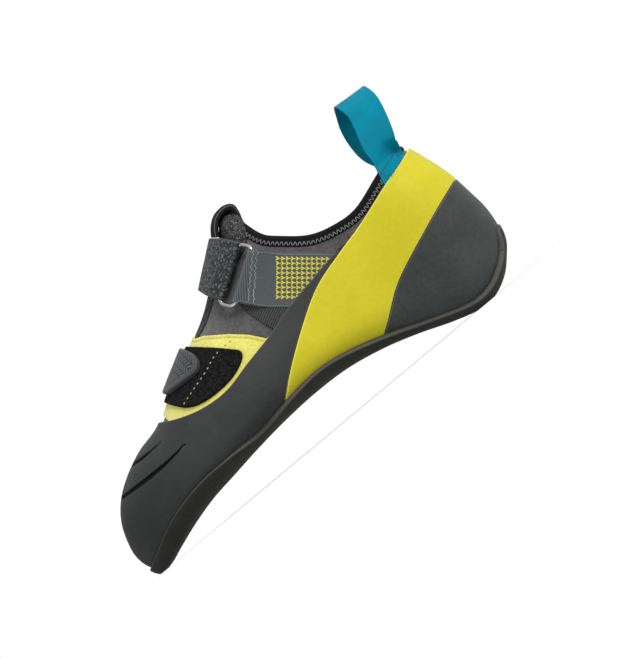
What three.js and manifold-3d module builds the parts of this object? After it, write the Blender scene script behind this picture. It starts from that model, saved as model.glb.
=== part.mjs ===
// Climbing shoe for the left foot, empty, standing on its heel and its toe.
// Millimetres, +Z up, toe to -X, outer side of the foot to -Y.
// The origin is the middle of the flat spot under the heel.
import * as THREE from 'three';
import { mergeVertices } from 'three/addons/utils/BufferGeometryUtils.js';
import Module from 'manifold-3d';

const wasm = await Module();
wasm.setup();

// Overall sizes
const shoe_length = 250;
const heel_rest = 33;           // rearmost rubber to the middle of the heel's flat spot
const ball_width = 90;
const heel_width = 58;
const instep_height = 116;
const heel_height = 92;
const toe_height = 57;
const arch_rise = 20.5;
const collar_low = 79.5;

// Walls and layers
const fit_gap = 0.3;
const joint_gap = 0.5;          // between pieces that meet edge to edge
const upper_wall = 1.6;
const rubber = 1.8;
const sole_thickness = 3.5;
const sole_wrap = 2.2;          // sole rubber where it turns up at both ends
const sole_edge = 2.3;          // how far the sole's side stands out from the skin
const insole_thickness = 2;
const tongue_thickness = 2;
const binding_height = 4.2;
const binding_thickness = 0.8;
const panel_thickness = 0.9;
const patch_thickness = 1.3;
const strap_thickness = 2.5;
const webbing_thickness = 1.2;
const elastic_thickness = 1;
const ribbon_thickness = 1.1;
const tab_thickness = 1.8;
const strap_lift = 0.8;         // strap's lower layer above the skin
const leg_lift = 0.4;           // pull loop's legs, as they pass the binding
const leg_bow = 1.5;
const free_bow = 0.8;
const tab_bow = 0.5;            // more for each row of the tab

// Widths of the small parts
const throat_width = 26;
const gusset_margin = 7;        // how far the tongue reaches under the throat's edges
const sole_margin = 14;         // upper folded in under the foot
const insole_margin = 7;
const strap_width = 27;
const webbing_width = 28.8;
const ribbon_width = 18;
const tab_width = 24;
const patch_over = 6;           // how far pieces reach past the ridge to the inner side
const tab_over = 14;
const strap_over = 16;
const strap_lap = 7;            // where a strap's layers are sewn together
const slit_width = 2;
const slit_end_y = 16;          // short of the toe's ridge
const ring_length = 34;
const ring_width = 13.4;
const ring_wire = 2.2;
const ring_lift = 4.4;          // middle of the wire above the skin

// Fineness
const stations = 26;
const round_steps = 20;
const end_crowding = 0.86;
const wire_steps = 8;
const bed_crispness = 0.8;      // the sole's edge is less round than the skin
const side_step = 0.5;          // for the skin's slope at a point
const reach = 400;              // longer and wider than the shoe, for cutting forms

const sole_bed = sole_thickness + fit_gap;
const cover = fit_gap + rubber;
const skin_length = shoe_length - 2 * cover;

// Sections of the last, from the heel (at 0) to the toe (at 1).
// low, waist, top: heights of the underside, the widest line and the ridge
// outer, inner: half widths; ridge: how far the middle line lies to the inner side
// crown, bed: roundness above and below the widest line, 2 is an ellipse
const columns = ['at', 'low', 'waist', 'top', 'outer', 'inner', 'ridge', 'crown', 'bed'];
const heel = heel_height;
const instep = instep_height;
const toe = toe_height;
const arch = arch_rise;
const ball = ball_width;
const seat = heel_width;
const base = sole_bed;
const sections = [
  [0.000, 0.413 * heel, 0.413 * heel, 0.413 * heel, 0, 0, 0, 2.2, 3.6],
  [0.003, 0.31 * heel, 0.41 * heel, 0.494 * heel, 0.107 * seat, 0.107 * seat, 0, 2.2, 3.6],
  [0.012, 0.24 * heel, 0.4 * heel, 0.665 * heel, 0.21 * seat, 0.21 * seat, 0, 2.2, 3.6],
  [0.030, 0.176 * heel, 0.39 * heel, 0.826 * heel, 0.32 * seat, 0.32 * seat, 0, 2.2, 3.7],
  [0.060, base + 0.25 * arch, 0.38 * heel, 1.03 * heel, 0.417 * seat, 0.417 * seat, 0, 2.2, 3.8],
  [0.100, base + 0.01 * arch, 0.37 * heel, 1.2 * heel, 0.476 * seat, 0.476 * seat, 0, 2.2, 3.9],
  [0.140, base - 0.02 * arch, 0.37 * heel, 1.27 * heel, 0.49 * seat, 0.49 * seat, 0, 2.2, 3.9],
  [0.200, base + 0.18 * arch, 0.31 * instep, 1.03 * instep, 0.49 * seat, 0.49 * seat, 0, 2.1, 3.8],
  [0.270, base + 0.5 * arch, 0.34 * instep, 1.03 * instep, 0.5 * seat, 0.475 * seat, 0, 2.1, 3.5],
  [0.340, base + 0.76 * arch, 0.36 * instep, 1.03 * instep, 0.543 * seat, 0.457 * seat, 0.01 * ball, 2.0, 3.2],
  [0.420, base + 0.95 * arch, 0.37 * instep, instep, 0.395 * ball, 0.29 * ball, 0.02 * ball, 1.9, 3.1],
  [0.500, base + arch, 0.36 * instep, 0.88 * instep, 0.444 * ball, 0.317 * ball, 0.03 * ball, 1.8, 3.0],
  [0.580, base + 0.96 * arch, 0.33 * instep, 0.75 * instep, 0.487 * ball, 0.367 * ball, 0.04 * ball, 1.85, 3.0],
  [0.660, base + 0.86 * arch, 0.295 * instep, 0.66 * instep, 0.5 * ball, 0.422 * ball, 0.06 * ball, 2.0, 3.0],
  [0.740, base + 0.72 * arch, 0.525 * toe, 1.155 * toe, 0.467 * ball, 0.461 * ball, 0.09 * ball, 2.1, 3.0],
  [0.800, base + 0.61 * arch, 0.49 * toe, 1.000 * toe, 0.405 * ball, 0.472 * ball, 0.12 * ball, 2.2, 2.6],
  [0.860, base + 0.42 * arch, 0.43 * toe, 0.932 * toe, 0.305 * ball, 0.467 * ball, 0.15 * ball, 2.2, 2.6],
  [0.910, base + 0.21 * arch, 0.36 * toe, 0.835 * toe, 0.19 * ball, 0.45 * ball, 0.18 * ball, 2.2, 2.6],
  [0.950, base + 0.03 * arch, 0.307 * toe, 0.715 * toe, 0.072 * ball, 0.417 * ball, 0.2 * ball, 2.2, 2.6],
  [0.980, base - 0.01 * arch, 0.27 * toe, 0.555 * toe, -0.04 * ball, 0.361 * ball, 0.215 * ball, 2.2, 2.5],
  [0.995, 0.15 * toe, 0.263 * toe, 0.39 * toe, -0.135 * ball, 0.295 * ball, 0.22 * ball, 2.2, 2.4],
  [1.000, 0.263 * toe, 0.263 * toe, 0.263 * toe, -0.222 * ball, 0.222 * ball, 0.222 * ball, 2.2, 2.4],
];

// Angle round a half circle for a share of the length, so that both ends round off
function end_angle(at) {
  const inside = Math.min(1, Math.max(0, at));
  return Math.acos(1 - 2 * inside);
}

function column_slope(column, row) {
  const before = sections[Math.max(0, row - 1)];
  const after = sections[Math.min(sections.length - 1, row + 1)];
  return (after[column] - before[column]) / (end_angle(after[0]) - end_angle(before[0]));
}

// A column's smooth value between its rows
function column_value(name, at) {
  const column = columns.indexOf(name);
  const angle = end_angle(at);
  let row = 0;
  while (row < sections.length - 2 && end_angle(sections[row + 1][0]) < angle) {
    row += 1;
  }
  const start = end_angle(sections[row][0]);
  const span = end_angle(sections[row + 1][0]) - start;
  const u = (angle - start) / span;
  const from = sections[row][column];
  const to = sections[row + 1][column];
  const leaving = column_slope(column, row) * span;
  const arriving = column_slope(column, row + 1) * span;
  return (2 * u ** 3 - 3 * u ** 2 + 1) * from + (u ** 3 - 2 * u ** 2 + u) * leaving
    + (3 * u ** 2 - 2 * u ** 3) * to + (u ** 3 - u ** 2) * arriving;
}

function section_at(at) {
  const found = {};
  for (const name of columns) {
    found[name] = column_value(name, at);
  }
  return found;
}

// One ring of points round a section; form says how it differs from the skin
function section_ring(at, form) {
  const cut = section_at(at);
  const x = heel_rest - cover + form.longer - at * (skin_length + 2 * form.longer);
  const bed = cut.bed + form.crisper;
  const ring = [];
  for (let step = 0; step < round_steps; step += 1) {
    const turn = 2 * Math.PI * step / round_steps;
    const across = Math.sin(turn);
    const up = Math.cos(turn);
    const edge = across > 0 ? -cut.outer - form.wider : cut.inner + form.wider;
    const power = 2 / (up > 0 ? cut.crown : bed);
    const height = up > 0 ? cut.top - cut.waist : cut.waist - cut.low + form.lower;
    const y = cut.ridge + (edge - cut.ridge) * Math.abs(across) ** power;
    const z = cut.waist + Math.sign(up) * height * Math.abs(up) ** power;
    ring.push(new THREE.Vector3(x, y, z));
  }
  return ring;
}

// Rings of points joined into a closed surface; a ring of one point is a pole
function loft(rings, closed = false) {
  const positions = rings.flat().flatMap((point) => point.toArray());
  const starts = [];
  let count = 0;
  for (const ring of rings) {
    starts.push(count);
    count += ring.length;
  }
  const faces = [];
  const joins = closed ? rings.length : rings.length - 1;
  for (let k = 0; k < joins; k += 1) {
    const next = (k + 1) % rings.length;
    const here = rings[k].length;
    const there = rings[next].length;
    const around = Math.max(here, there);
    for (let step = 0; step < around; step += 1) {
      const p = starts[k] + step % here;
      const q = starts[k] + (step + 1) % here;
      const r = starts[next] + (step + 1) % there;
      const o = starts[next] + step % there;
      if (p !== q) {
        faces.push(p, q, r);
      }
      if (r !== o) {
        faces.push(p, r, o);
      }
    }
  }
  if (!closed) {
    cap_end(faces, starts[0], rings[0].length, true);
    cap_end(faces, starts[rings.length - 1], rings[rings.length - 1].length, false);
  }
  const geometry = new THREE.BufferGeometry();
  geometry.setAttribute('position', new THREE.Float32BufferAttribute(positions, 3));
  geometry.setIndex(outward(faces, positions));
  return geometry;
}

function cap_end(faces, start, size, first) {
  for (let k = 1; k < size - 1; k += 1) {
    if (first) {
      faces.push(start, start + k + 1, start + k);
    } else {
      faces.push(start, start + k, start + k + 1);
    }
  }
}

// Turns every face round when the surface encloses a negative volume
function outward(faces, positions) {
  const corner = (index) => new THREE.Vector3().fromArray(positions, 3 * index);
  let volume = 0;
  for (let k = 0; k < faces.length; k += 3) {
    const first = corner(faces[k]);
    const second = corner(faces[k + 1]);
    volume += first.dot(second.cross(corner(faces[k + 2])));
  }
  return volume > 0 ? faces : faces.slice().reverse();
}

function solid(geometry) {
  const bare = geometry.clone();
  bare.deleteAttribute('normal');
  bare.deleteAttribute('uv');
  const merged = mergeVertices(bare);
  return new wasm.Manifold(new wasm.Mesh({
    numProp: 3,
    vertProperties: new Float32Array(merged.attributes.position.array),
    triVerts: new Uint32Array(merged.index.array),
  }));
}

// Forms of the foot
const skin_form = { longer: 0, wider: 0, lower: 0, crisper: 0 };
const sole_form = {
  longer: fit_gap + sole_wrap, wider: sole_edge, lower: sole_bed, crisper: bed_crispness,
};

function form_geometry(form) {
  const rings = [];
  for (let k = 0; k <= stations; k += 1) {
    const even = k / stations;
    const crowded = (1 - Math.cos(Math.PI * even)) / 2;
    const at = even + (crowded - even) * end_crowding;
    const ring = section_ring(at, form);
    rings.push(k === 0 || k === stations ? ring.slice(0, 1) : ring);
  }
  return loft(rings);
}

const skin_geometry = form_geometry(skin_form);
skin_geometry.computeVertexNormals();

// The skin moved outward (or inward, below zero) by a distance
function grown(distance) {
  const moved = skin_geometry.clone();
  const place = moved.attributes.position;
  const normal = skin_geometry.attributes.normal;
  const point = new THREE.Vector3();
  const away = new THREE.Vector3();
  for (let k = 0; k < place.count; k += 1) {
    point.fromBufferAttribute(place, k);
    away.fromBufferAttribute(normal, k);
    point.addScaledVector(away, distance);
    place.setXYZ(k, point.x, point.y, point.z);
  }
  return solid(moved);
}

function layer(inside, outside) {
  return grown(outside).subtract(grown(inside));
}

// Lines in the side view: [share of the shoe's length from the heel, height]
function side_line(points) {
  return points.map(([along, up]) => new THREE.Vector2(heel_rest - along * shoe_length, up));
}

function smooth(points, steps) {
  return new THREE.SplineCurve(points).getPoints(steps);
}

function shifted(points, back, up) {
  return points.map((point) => new THREE.Vector2(point.x + back, point.y + up));
}

// A line moved sideways, to its left as it runs
function beside(points, distance) {
  return points.map((point, k) => {
    const before = points[Math.max(0, k - 1)];
    const after = points[Math.min(points.length - 1, k + 1)];
    const along = after.clone().sub(before).normalize();
    return new THREE.Vector2(point.x - along.y * distance, point.y + along.x * distance);
  });
}

// A side view outline carried across the shoe from one y to another
function side_prism(outline, from_y = -reach, to_y = reach) {
  const prism = new THREE.ExtrudeGeometry(new THREE.Shape(outline), {
    depth: to_y - from_y, bevelEnabled: false,
  });
  prism.rotateX(Math.PI / 2);
  prism.translate(0, to_y, 0);
  return solid(prism);
}

// A plan outline carried from one height to another
function plan_prism(outline, from_z, to_z) {
  const prism = new THREE.ExtrudeGeometry(new THREE.Shape(outline), {
    depth: to_z - from_z, bevelEnabled: false,
  });
  prism.translate(0, 0, from_z);
  return solid(prism);
}

// Lines that several pieces share
const sole_line = smooth(side_line([
  [1.020, 0.10 * arch_rise], [0.980, 0.36 * arch_rise], [0.897, 0.86 * arch_rise],
  [0.806, 1.12 * arch_rise], [0.720, 1.14 * arch_rise], [0.640, 1.07 * arch_rise],
  [0.540, 1.28 * arch_rise], [0.452, 1.34 * arch_rise], [0.344, 1.01 * arch_rise],
  [0.194, 0.36 * arch_rise], [0.132, 0.17 * arch_rise], [0.080, 0.28 * arch_rise],
  [0.028, 0.72 * arch_rise], [0.004, 1.28 * arch_rise], [-0.020, 1.40 * arch_rise],
]), 22);
const rand_top = smooth(side_line([
  [0.228, 0.772 * heel], [0.310, 0.740 * heel], [0.435, 0.679 * heel], [0.502, 0.625 * heel],
  [0.571, 0.584 * heel], [0.640, 0.541 * heel], [0.700, 0.548 * heel], [0.750, 0.587 * heel],
  [0.794, 1.040 * toe],
]), 14);
const band_front = smooth(side_line([
  [0.020, 0.96 * heel], [0.068, 0.904 * heel], [0.134, 0.850 * heel], [0.218, 0.777 * heel],
  [0.288, 0.730 * heel], [0.368, 0.665 * heel], [0.446, 0.543 * heel], [0.533, 0.378 * heel],
  [0.600, 0.240 * heel],
]), 13);
const band_rear = smooth(side_line([
  [-0.02, 0.660 * heel], [0.011, 0.638 * heel], [0.063, 0.591 * heel], [0.129, 0.522 * heel],
  [0.230, 0.408 * heel], [0.298, 0.286 * heel], [0.360, 0.190 * heel],
]), 8);
const collar_line = smooth(side_line([
  [0.402, 1.030 * instep], [0.397, 0.955 * instep], [0.383, 0.862 * instep], [0.358, 0.805 * instep],
  [0.312, 1.062 * collar_low], [0.262, 1.010 * collar_low], [0.207, collar_low],
  [0.137, 1.070 * collar_low], [0.054, 1.006 * heel], [-0.02, 1.08 * heel],
]), 18);
const lining_line = beside(collar_line, -binding_height);
const under_binding = beside(collar_line, -binding_height - fit_gap);

// Everything behind and below the collar's line, above it, and so on
const high = 2 * instep_height;
const front_x = heel_rest - 1.2 * shoe_length;
const rear_x = heel_rest + 0.2 * shoe_length;
const corner = (x, z) => new THREE.Vector2(x, z);

function above(line) {
  return [...line, corner(line.at(-1).x, high), corner(line[0].x, high)];
}

function outsole() {
  const under_line = [...sole_line, corner(rear_x, 0), corner(front_x, 0)];
  return solid(form_geometry(sole_form))
    .subtract(grown(fit_gap))
    .intersect(side_prism(under_line));
}

// Plan outline a margin inside the last, between two stations
function foot_outline(margin, from_at, to_at, steps) {
  const outer = [];
  const inner = [];
  for (let k = 0; k <= steps; k += 1) {
    const at = from_at + (to_at - from_at) * k / steps;
    const cut = section_at(at);
    const x = heel_rest - cover - at * skin_length;
    outer.push(corner(x, -cut.outer + margin));
    inner.push(corner(x, cut.inner - margin));
  }
  return [...outer, ...inner.reverse()];
}

// What lies inside a plan outline and below the widest line of the last
function footbed(margin, from_at, to_at) {
  const steps = 8;
  const waist_line = [];
  for (let k = 0; k <= steps; k += 1) {
    const at = k / steps;
    waist_line.push(corner(heel_rest - cover - at * skin_length, section_at(at).waist));
  }
  const under_waist = [...waist_line, corner(front_x, 0), corner(rear_x, 0)];
  return plan_prism(foot_outline(margin, from_at, to_at, steps), 0, high)
    .intersect(side_prism(under_waist));
}

function insole() {
  const deep = -upper_wall - fit_gap;
  return layer(deep - insole_thickness, deep).intersect(footbed(insole_margin, 0.05, 0.955));
}

// Throat opening seen from above, with a round front end
function throat_outline(margin) {
  const half = throat_width / 2 + margin;
  const rear = heel_rest - 0.392 * shoe_length + margin;
  const front = heel_rest - 0.632 * shoe_length + throat_width / 2;
  const middle = 0.035 * ball_width;
  const arc = new THREE.EllipseCurve(front, middle, half, half, Math.PI / 2, 1.5 * Math.PI);
  return [corner(rear, middle - half), corner(rear, middle + half), ...arc.getPoints(8)];
}

function upper() {
  const throat = plan_prism(throat_outline(0), 0.5 * instep_height, high);
  return layer(-upper_wall, 0)
    .subtract(side_prism(above(lining_line)))
    .subtract(throat)
    .subtract(footbed(sole_margin, 0.08, 0.93));
}

function tongue() {
  const deep = -upper_wall - fit_gap;
  const wide = plan_prism(throat_outline(gusset_margin), 0.5 * instep_height, high);
  const narrow = plan_prism(throat_outline(-fit_gap), 0.5 * instep_height, high);
  const before_collar = side_prism([
    corner(heel_rest - 0.404 * shoe_length, 0), corner(heel_rest - 0.404 * shoe_length, high),
    corner(front_x, high), corner(front_x, 0)]);
  const under_collar = side_prism(above(under_binding));
  const gusset = layer(deep - tongue_thickness, deep).intersect(wide).subtract(under_collar);
  const middle = layer(deep - tongue_thickness / 2, fit_gap).intersect(narrow);
  return gusset.add(middle).intersect(before_collar);
}

function collar_binding() {
  const strip = [...collar_line, ...beside(collar_line, fit_gap - binding_height).reverse()];
  const throat = plan_prism(throat_outline(0), 0.5 * instep_height, high);
  return layer(-upper_wall - binding_thickness / 2, binding_thickness)
    .intersect(side_prism(strip))
    .subtract(throat);
}

// Rubber over the skin, above the sole's edge and inside a side view outline
function rubber_piece(outline) {
  const over_sole = [
    ...shifted(sole_line, 0, fit_gap), corner(rear_x, high), corner(front_x, high)];
  return layer(fit_gap, cover)
    .intersect(side_prism(outline))
    .intersect(side_prism(over_sole));
}

// A slit along a line, pointed at both ends
function slit(line, width) {
  const swell = (k) => width / 2 * Math.sin(Math.PI * k / (line.length - 1));
  const over = line.map((point, k) => corner(point.x, point.y + swell(k)));
  const under = line.slice(1, -1).map((point, k) => corner(point.x, point.y - swell(k + 1)));
  return side_prism([...over, ...under.reverse()], -reach, slit_end_y);
}

function toe_rand() {
  const front = shifted(band_front, -joint_gap, 0);
  const upper_slit = smooth(side_line([
    [0.905, 0.889 * toe], [0.841, 0.871 * toe], [0.806, 0.876 * toe]]), 5);
  const lower_slit = smooth(side_line([
    [0.947, 0.722 * toe], [0.902, 0.714 * toe], [0.853, 0.710 * toe], [0.767, 0.744 * toe]]), 6);
  return rubber_piece([
    ...rand_top,
    corner(rand_top.at(-1).x, high), corner(front_x, high),
    corner(front_x, 0), corner(front.at(-1).x, 0),
    ...front.filter((point) => point.x < rand_top[0].x).reverse(),
  ]).subtract(slit(upper_slit, slit_width / 2)).subtract(slit(lower_slit, slit_width));
}

function tension_band() {
  return rubber_piece([
    corner(rear_x, band_front[0].y), ...band_front,
    ...band_rear.slice().reverse(), corner(rear_x, band_rear[0].y),
  ]).subtract(side_prism(above(under_binding)));
}

function heel_cup() {
  const rear = shifted(band_rear, joint_gap, 0);
  return rubber_piece([
    corner(rear_x, rear[0].y), ...rear, corner(rear.at(-1).x, 0), corner(rear_x, 0),
  ]);
}

// Where the side view meets the outer side of the skin, with the way out of it
function skin_place(x, z) {
  const depth = (px, pz) => {
    const cut = section_at((heel_rest - cover - px) / skin_length);
    const up = pz > cut.waist;
    const share = up ? (pz - cut.waist) / (cut.top - cut.waist)
      : (cut.waist - pz) / (cut.waist - cut.low);
    const power = up ? cut.crown : cut.bed;
    return cut.ridge + (-cut.outer - cut.ridge) * (1 - Math.min(1, share) ** power) ** (1 / power);
  };
  const y = depth(x, z);
  const slope_x = (depth(x + side_step, z) - y) / side_step;
  const slope_z = (depth(x, z + side_step) - y) / side_step;
  return {
    point: new THREE.Vector3(x, y, z),
    out: new THREE.Vector3(slope_x, -1, slope_z).normalize(),
  };
}

// Yellow side panel and the loop patch on it, down to the rand
const over_rand = side_prism([
  ...shifted(rand_top, 0, fit_gap), corner(rand_top.at(-1).x, high), corner(rear_x, high),
  corner(rear_x, rand_top[0].y)]);
const panel_out = fit_gap + panel_thickness;
const patch_in = panel_out + fit_gap;
const patch_out = patch_in + patch_thickness;
const ridge_y = 0.06 * ball_width;

function vamp_panel() {
  const rear = side_line([
    [0.622, 0.95 * heel], [0.622, 0.868 * heel], [0.606, 0.852 * heel], [0.564, 0.772 * heel],
    [0.534, 0.699 * heel], [0.505, 0.600 * heel]]);
  const outline = [
    corner(rear[0].x, high), ...rear, corner(rear.at(-1).x, 0),
    ...side_line([[0.770, 0], [0.770, high]])];
  return layer(fit_gap, panel_out).intersect(side_prism(outline)).intersect(over_rand);
}

function loop_patch() {
  const edge = smooth(side_line([
    [0.653, 0.90 * heel], [0.646, 0.861 * heel], [0.588, 0.716 * heel], [0.568, 0.640 * heel],
    [0.611, 0.576 * heel], [0.676, 0.564 * heel], [0.723, 0.603 * heel], [0.756, 0.72 * heel]]), 17);
  return layer(patch_in, patch_out).intersect(side_prism(
    [...edge, corner(edge.at(-1).x, high), corner(edge[0].x, high)], -reach, ridge_y + patch_over));
}

function lower_strap() {
  const tab = side_line([
    [0.659, high], [0.653, 0.855 * heel], [0.639, 0.789 * heel], [0.641, 0.733 * heel],
    [0.659, 0.698 * heel], [0.729, 0.704 * heel], [0.741, 0.729 * heel], [0.749, high]]);
  const anchor = side_line([
    [0.662, high], [0.645, 0.63 * heel], [0.738, 0.63 * heel], [0.752, high]]);
  const over_patch = patch_out + fit_gap;
  const outer_part = layer(over_patch, over_patch + strap_thickness)
    .intersect(side_prism(tab, -reach, ridge_y + tab_over));
  const inner_part = layer(patch_in, patch_in + strap_thickness)
    .intersect(side_prism(anchor, ridge_y + tab_over - strap_lap, reach));
  return outer_part.add(inner_part);
}

// The ring's frame: its middle on the outer side, along its length and across it
const ring_tilt = 33 * Math.PI / 180;
const ring_middle = side_line([[0.4728, 0.7714 * instep]])[0];
const ring_along = corner(Math.cos(ring_tilt), Math.sin(ring_tilt));
const ring_across = corner(-Math.sin(ring_tilt), Math.cos(ring_tilt));

function ring_point(along, across) {
  return ring_middle.clone()
    .addScaledVector(ring_along, along).addScaledVector(ring_across, across);
}

function ring_strip(width, from, to, shift = 0) {
  return [
    ring_point(shift - width / 2, from), ring_point(shift + width / 2, from),
    ring_point(shift + width / 2, to), ring_point(shift - width / 2, to)];
}

// Wire bent to a rounded rectangle; the radius is given so that it also cuts clearances
function ring_form(radius) {
  const place = skin_place(ring_middle.x, ring_middle.y);
  const across = new THREE.Vector3(ring_across.x, 0, ring_across.y);
  across.addScaledVector(place.out, -across.dot(place.out)).normalize();
  const along = new THREE.Vector3().crossVectors(across, place.out).normalize();
  const middle = place.point.clone().addScaledVector(place.out, ring_lift);
  const half = (ring_length - ring_wire) / 2;
  const side = (ring_width - ring_wire) / 2;
  const bend = 0.75 * side;
  const rings = [];
  for (let quarter = 0; quarter < 4; quarter += 1) {
    const end = quarter === 0 || quarter === 3 ? 1 : -1;
    const flank = quarter < 2 ? 1 : -1;
    for (let step = 0; step <= 3; step += 1) {
      const turn = (quarter + step / 3) * Math.PI / 2;
      const u = end * (half - bend) + bend * Math.cos(turn);
      const v = flank * (side - bend) + bend * Math.sin(turn);
      const centre = middle.clone().addScaledVector(along, u).addScaledVector(across, v);
      const way = along.clone().multiplyScalar(Math.cos(turn))
        .addScaledVector(across, Math.sin(turn));
      const wire = [];
      for (let k = 0; k < wire_steps; k += 1) {
        const around = 2 * Math.PI * k / wire_steps;
        wire.push(centre.clone()
          .addScaledVector(way, radius * Math.cos(around))
          .addScaledVector(place.out, radius * Math.sin(around)));
      }
      rings.push(wire);
    }
  }
  return solid(loft(rings, true));
}

const ring_hole = ring_form((ring_wire / 2 + fit_gap) / Math.cos(Math.PI / wire_steps));
const bar = (ring_width - ring_wire) / 2;
const fold = ring_wire / 2 + fit_gap + webbing_thickness;
const fold_out = ring_lift + fold;

function d_ring() {
  return ring_form(ring_wire / 2);
}

// Webbing from the rand up to the ring, folded round the ring's rear wire
const webbing_way = corner(0.768, -0.641);
const webbing_outline = [
  ring_point(-webbing_width / 2, -bar), ring_point(webbing_width / 2, -bar),
  ring_point(webbing_width / 2, -bar).addScaledVector(webbing_way, high),
  ring_point(-webbing_width / 2, -bar).addScaledVector(webbing_way, high)];

function label_webbing() {
  const flat = layer(fit_gap, fit_gap + webbing_thickness)
    .intersect(side_prism(webbing_outline, -reach, 0)).intersect(over_rand);
  const round = layer(fit_gap, fold_out)
    .intersect(side_prism(ring_strip(webbing_width, -bar - fold, -bar + fold), -reach, 0));
  return flat.add(round).subtract(ring_hole);
}

function side_elastic() {
  const outline = side_line([
    [0.512, 0.665 * instep], [0.495, 0.700 * instep], [0.420, 0.600 * instep], [0.420, 0.520 * instep],
    [0.489, 0.512 * instep]]);
  return layer(fit_gap, fit_gap + elastic_thickness)
    .intersect(side_prism(outline, -reach, 0)).intersect(over_rand)
    .subtract(side_prism(shifted(webbing_outline, -joint_gap, -joint_gap)))
    .subtract(side_prism(ring_strip(webbing_width + 2 * joint_gap, -bar - 2 * fold, -bar + fold)));
}

// Closing strap: from the inner side over the tongue, round the ring's front wire and back
function upper_strap() {
  const shift = 0.08 * ring_length;
  const band = ring_strip(strap_width, bar, 4 * bar, shift);
  const over = [band[0], band[1],
    ...side_line([[0.514, 1.095 * instep], [0.598, 0.933 * instep]])];
  const anchor = side_line([
    [0.514, 1.095 * instep], [0.434, 0.902 * instep], [0.424, 0.760 * instep], [0.508, 0.655 * instep],
    [0.516, 0.759 * instep], [0.598, 0.933 * instep]]);
  const middle = 0.03 * ball_width;
  const end_y = middle + strap_over;
  const under = layer(strap_lift, strap_lift + webbing_thickness);
  const outer_under = under.intersect(side_prism(over, -reach, middle));
  const inner_under = under.intersect(side_prism(anchor, middle - joint_gap, reach));
  const back = layer(fold_out - strap_thickness, fold_out)
    .intersect(side_prism(over, -reach, end_y));
  const end = layer(strap_lift, fold_out)
    .intersect(side_prism(over, end_y - strap_lap, end_y));
  const round = layer(strap_lift, fold_out)
    .intersect(side_prism(ring_strip(strap_width, bar - fold, bar + fold, shift), -reach, 0));
  return outer_under.add(inner_under).add(back).add(end).add(round).subtract(ring_hole);
}

// A ribbon along middle points; each row gives the way across it and how far it bows
function ribbon(rows, width, thickness, steps) {
  const path = new THREE.CatmullRomCurve3(rows.map((row) => row.middle));
  const rings = [];
  for (let k = 0; k <= steps; k += 1) {
    const share = k / steps * (rows.length - 1);
    const row = Math.min(rows.length - 2, Math.floor(share));
    const part = share - row;
    const bow = (1 - part) * rows[row].bow + part * rows[row + 1].bow;
    const along = path.getTangent(k / steps);
    const across = rows[row].across.clone().lerp(rows[row + 1].across, part);
    across.addScaledVector(along, -across.dot(along)).normalize();
    const out = new THREE.Vector3().crossVectors(across, along).normalize();
    const middle = path.getPoint(k / steps);
    const place = (side, face) => middle.clone()
      .addScaledVector(across, side * width / 2)
      .addScaledVector(out, face * thickness / 2 - bow * side ** 2);
    const sides = [-1, -0.5, 0, 0.5, 1];
    rings.push([
      ...sides.map((side) => place(side, -1)),
      ...sides.reverse().map((side) => place(side, 1)),
    ]);
  }
  return solid(loft(rings));
}

// Pull loop: legs on both sides of the heel, from the band's edge up and over
function pull_loop() {
  const level = (lean) => {
    const angle = lean * Math.PI / 180;
    return new THREE.Vector3(Math.cos(angle), 0, Math.sin(angle));
  };
  const leg = (along, up, lift, lean, bow) => {
    const place = skin_place(heel_rest - along * shoe_length, up);
    const across = level(lean);
    across.addScaledVector(place.out, -across.dot(place.out)).normalize();
    return { middle: place.point.addScaledVector(place.out, lift), across, bow };
  };
  const free = (along, y, up, lean, bow = 0) => ({
    middle: new THREE.Vector3(heel_rest - along * shoe_length, y, up), across: level(lean), bow,
  });
  const mirrored = ({ middle, across, bow }) => ({
    middle: new THREE.Vector3(middle.x, -middle.y, middle.z),
    across: new THREE.Vector3(across.x, -across.y, across.z), bow,
  });
  const rise = binding_thickness + 2 * fit_gap + ribbon_thickness / 2;
  const foot = leg(0.099, 0.870 * heel, rise, 20, leg_bow);
  const edge = leg(0.090, 0.985 * heel, rise + leg_lift, 18, leg_bow);
  const band_edge = shifted(band_front, 0, fit_gap);
  const band_side = [
    ...band_edge, corner(band_edge.at(-1).x, 0), corner(rear_x, 0),
    corner(rear_x, band_edge[0].y)];
  return ribbon([
    foot, edge,
    free(0.076, -0.345 * seat, 1.085 * heel, 14, free_bow),
    free(0.061, -0.300 * seat, 1.190 * heel, 4),
    free(0.058, -0.190 * seat, 1.290 * heel, -4),
    free(0.070, 0, 1.362 * heel, -4),
    free(0.082, 0.190 * seat, 1.300 * heel, 0),
    free(0.095, 0.300 * seat, 1.200 * heel, 6),
    free(0.099, 0.345 * seat, 1.090 * heel, 12, free_bow),
    mirrored(edge), mirrored(foot),
  ], ribbon_width, ribbon_thickness, 17)
    .subtract(side_prism(band_side))
    .subtract(grown(binding_thickness + fit_gap));
}

// Tab that curls forward from the tongue's top edge
function tongue_tab() {
  const y = 0.035 * ball_width;
  const rows = side_line([
    [0.3985, 0.960 * instep], [0.397, 1.010 * instep], [0.400, 1.045 * instep], [0.413, 1.060 * instep],
    [0.434, 1.050 * instep], [0.453, 1.020 * instep], [0.466, 0.988 * instep],
  ]).map((point, k) => ({
    middle: new THREE.Vector3(point.x, y, point.y),
    across: new THREE.Vector3(0, 1, 0),
    bow: tab_bow * k,
  }));
  return ribbon(rows, tab_width, tab_thickness, 12);
}

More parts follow.
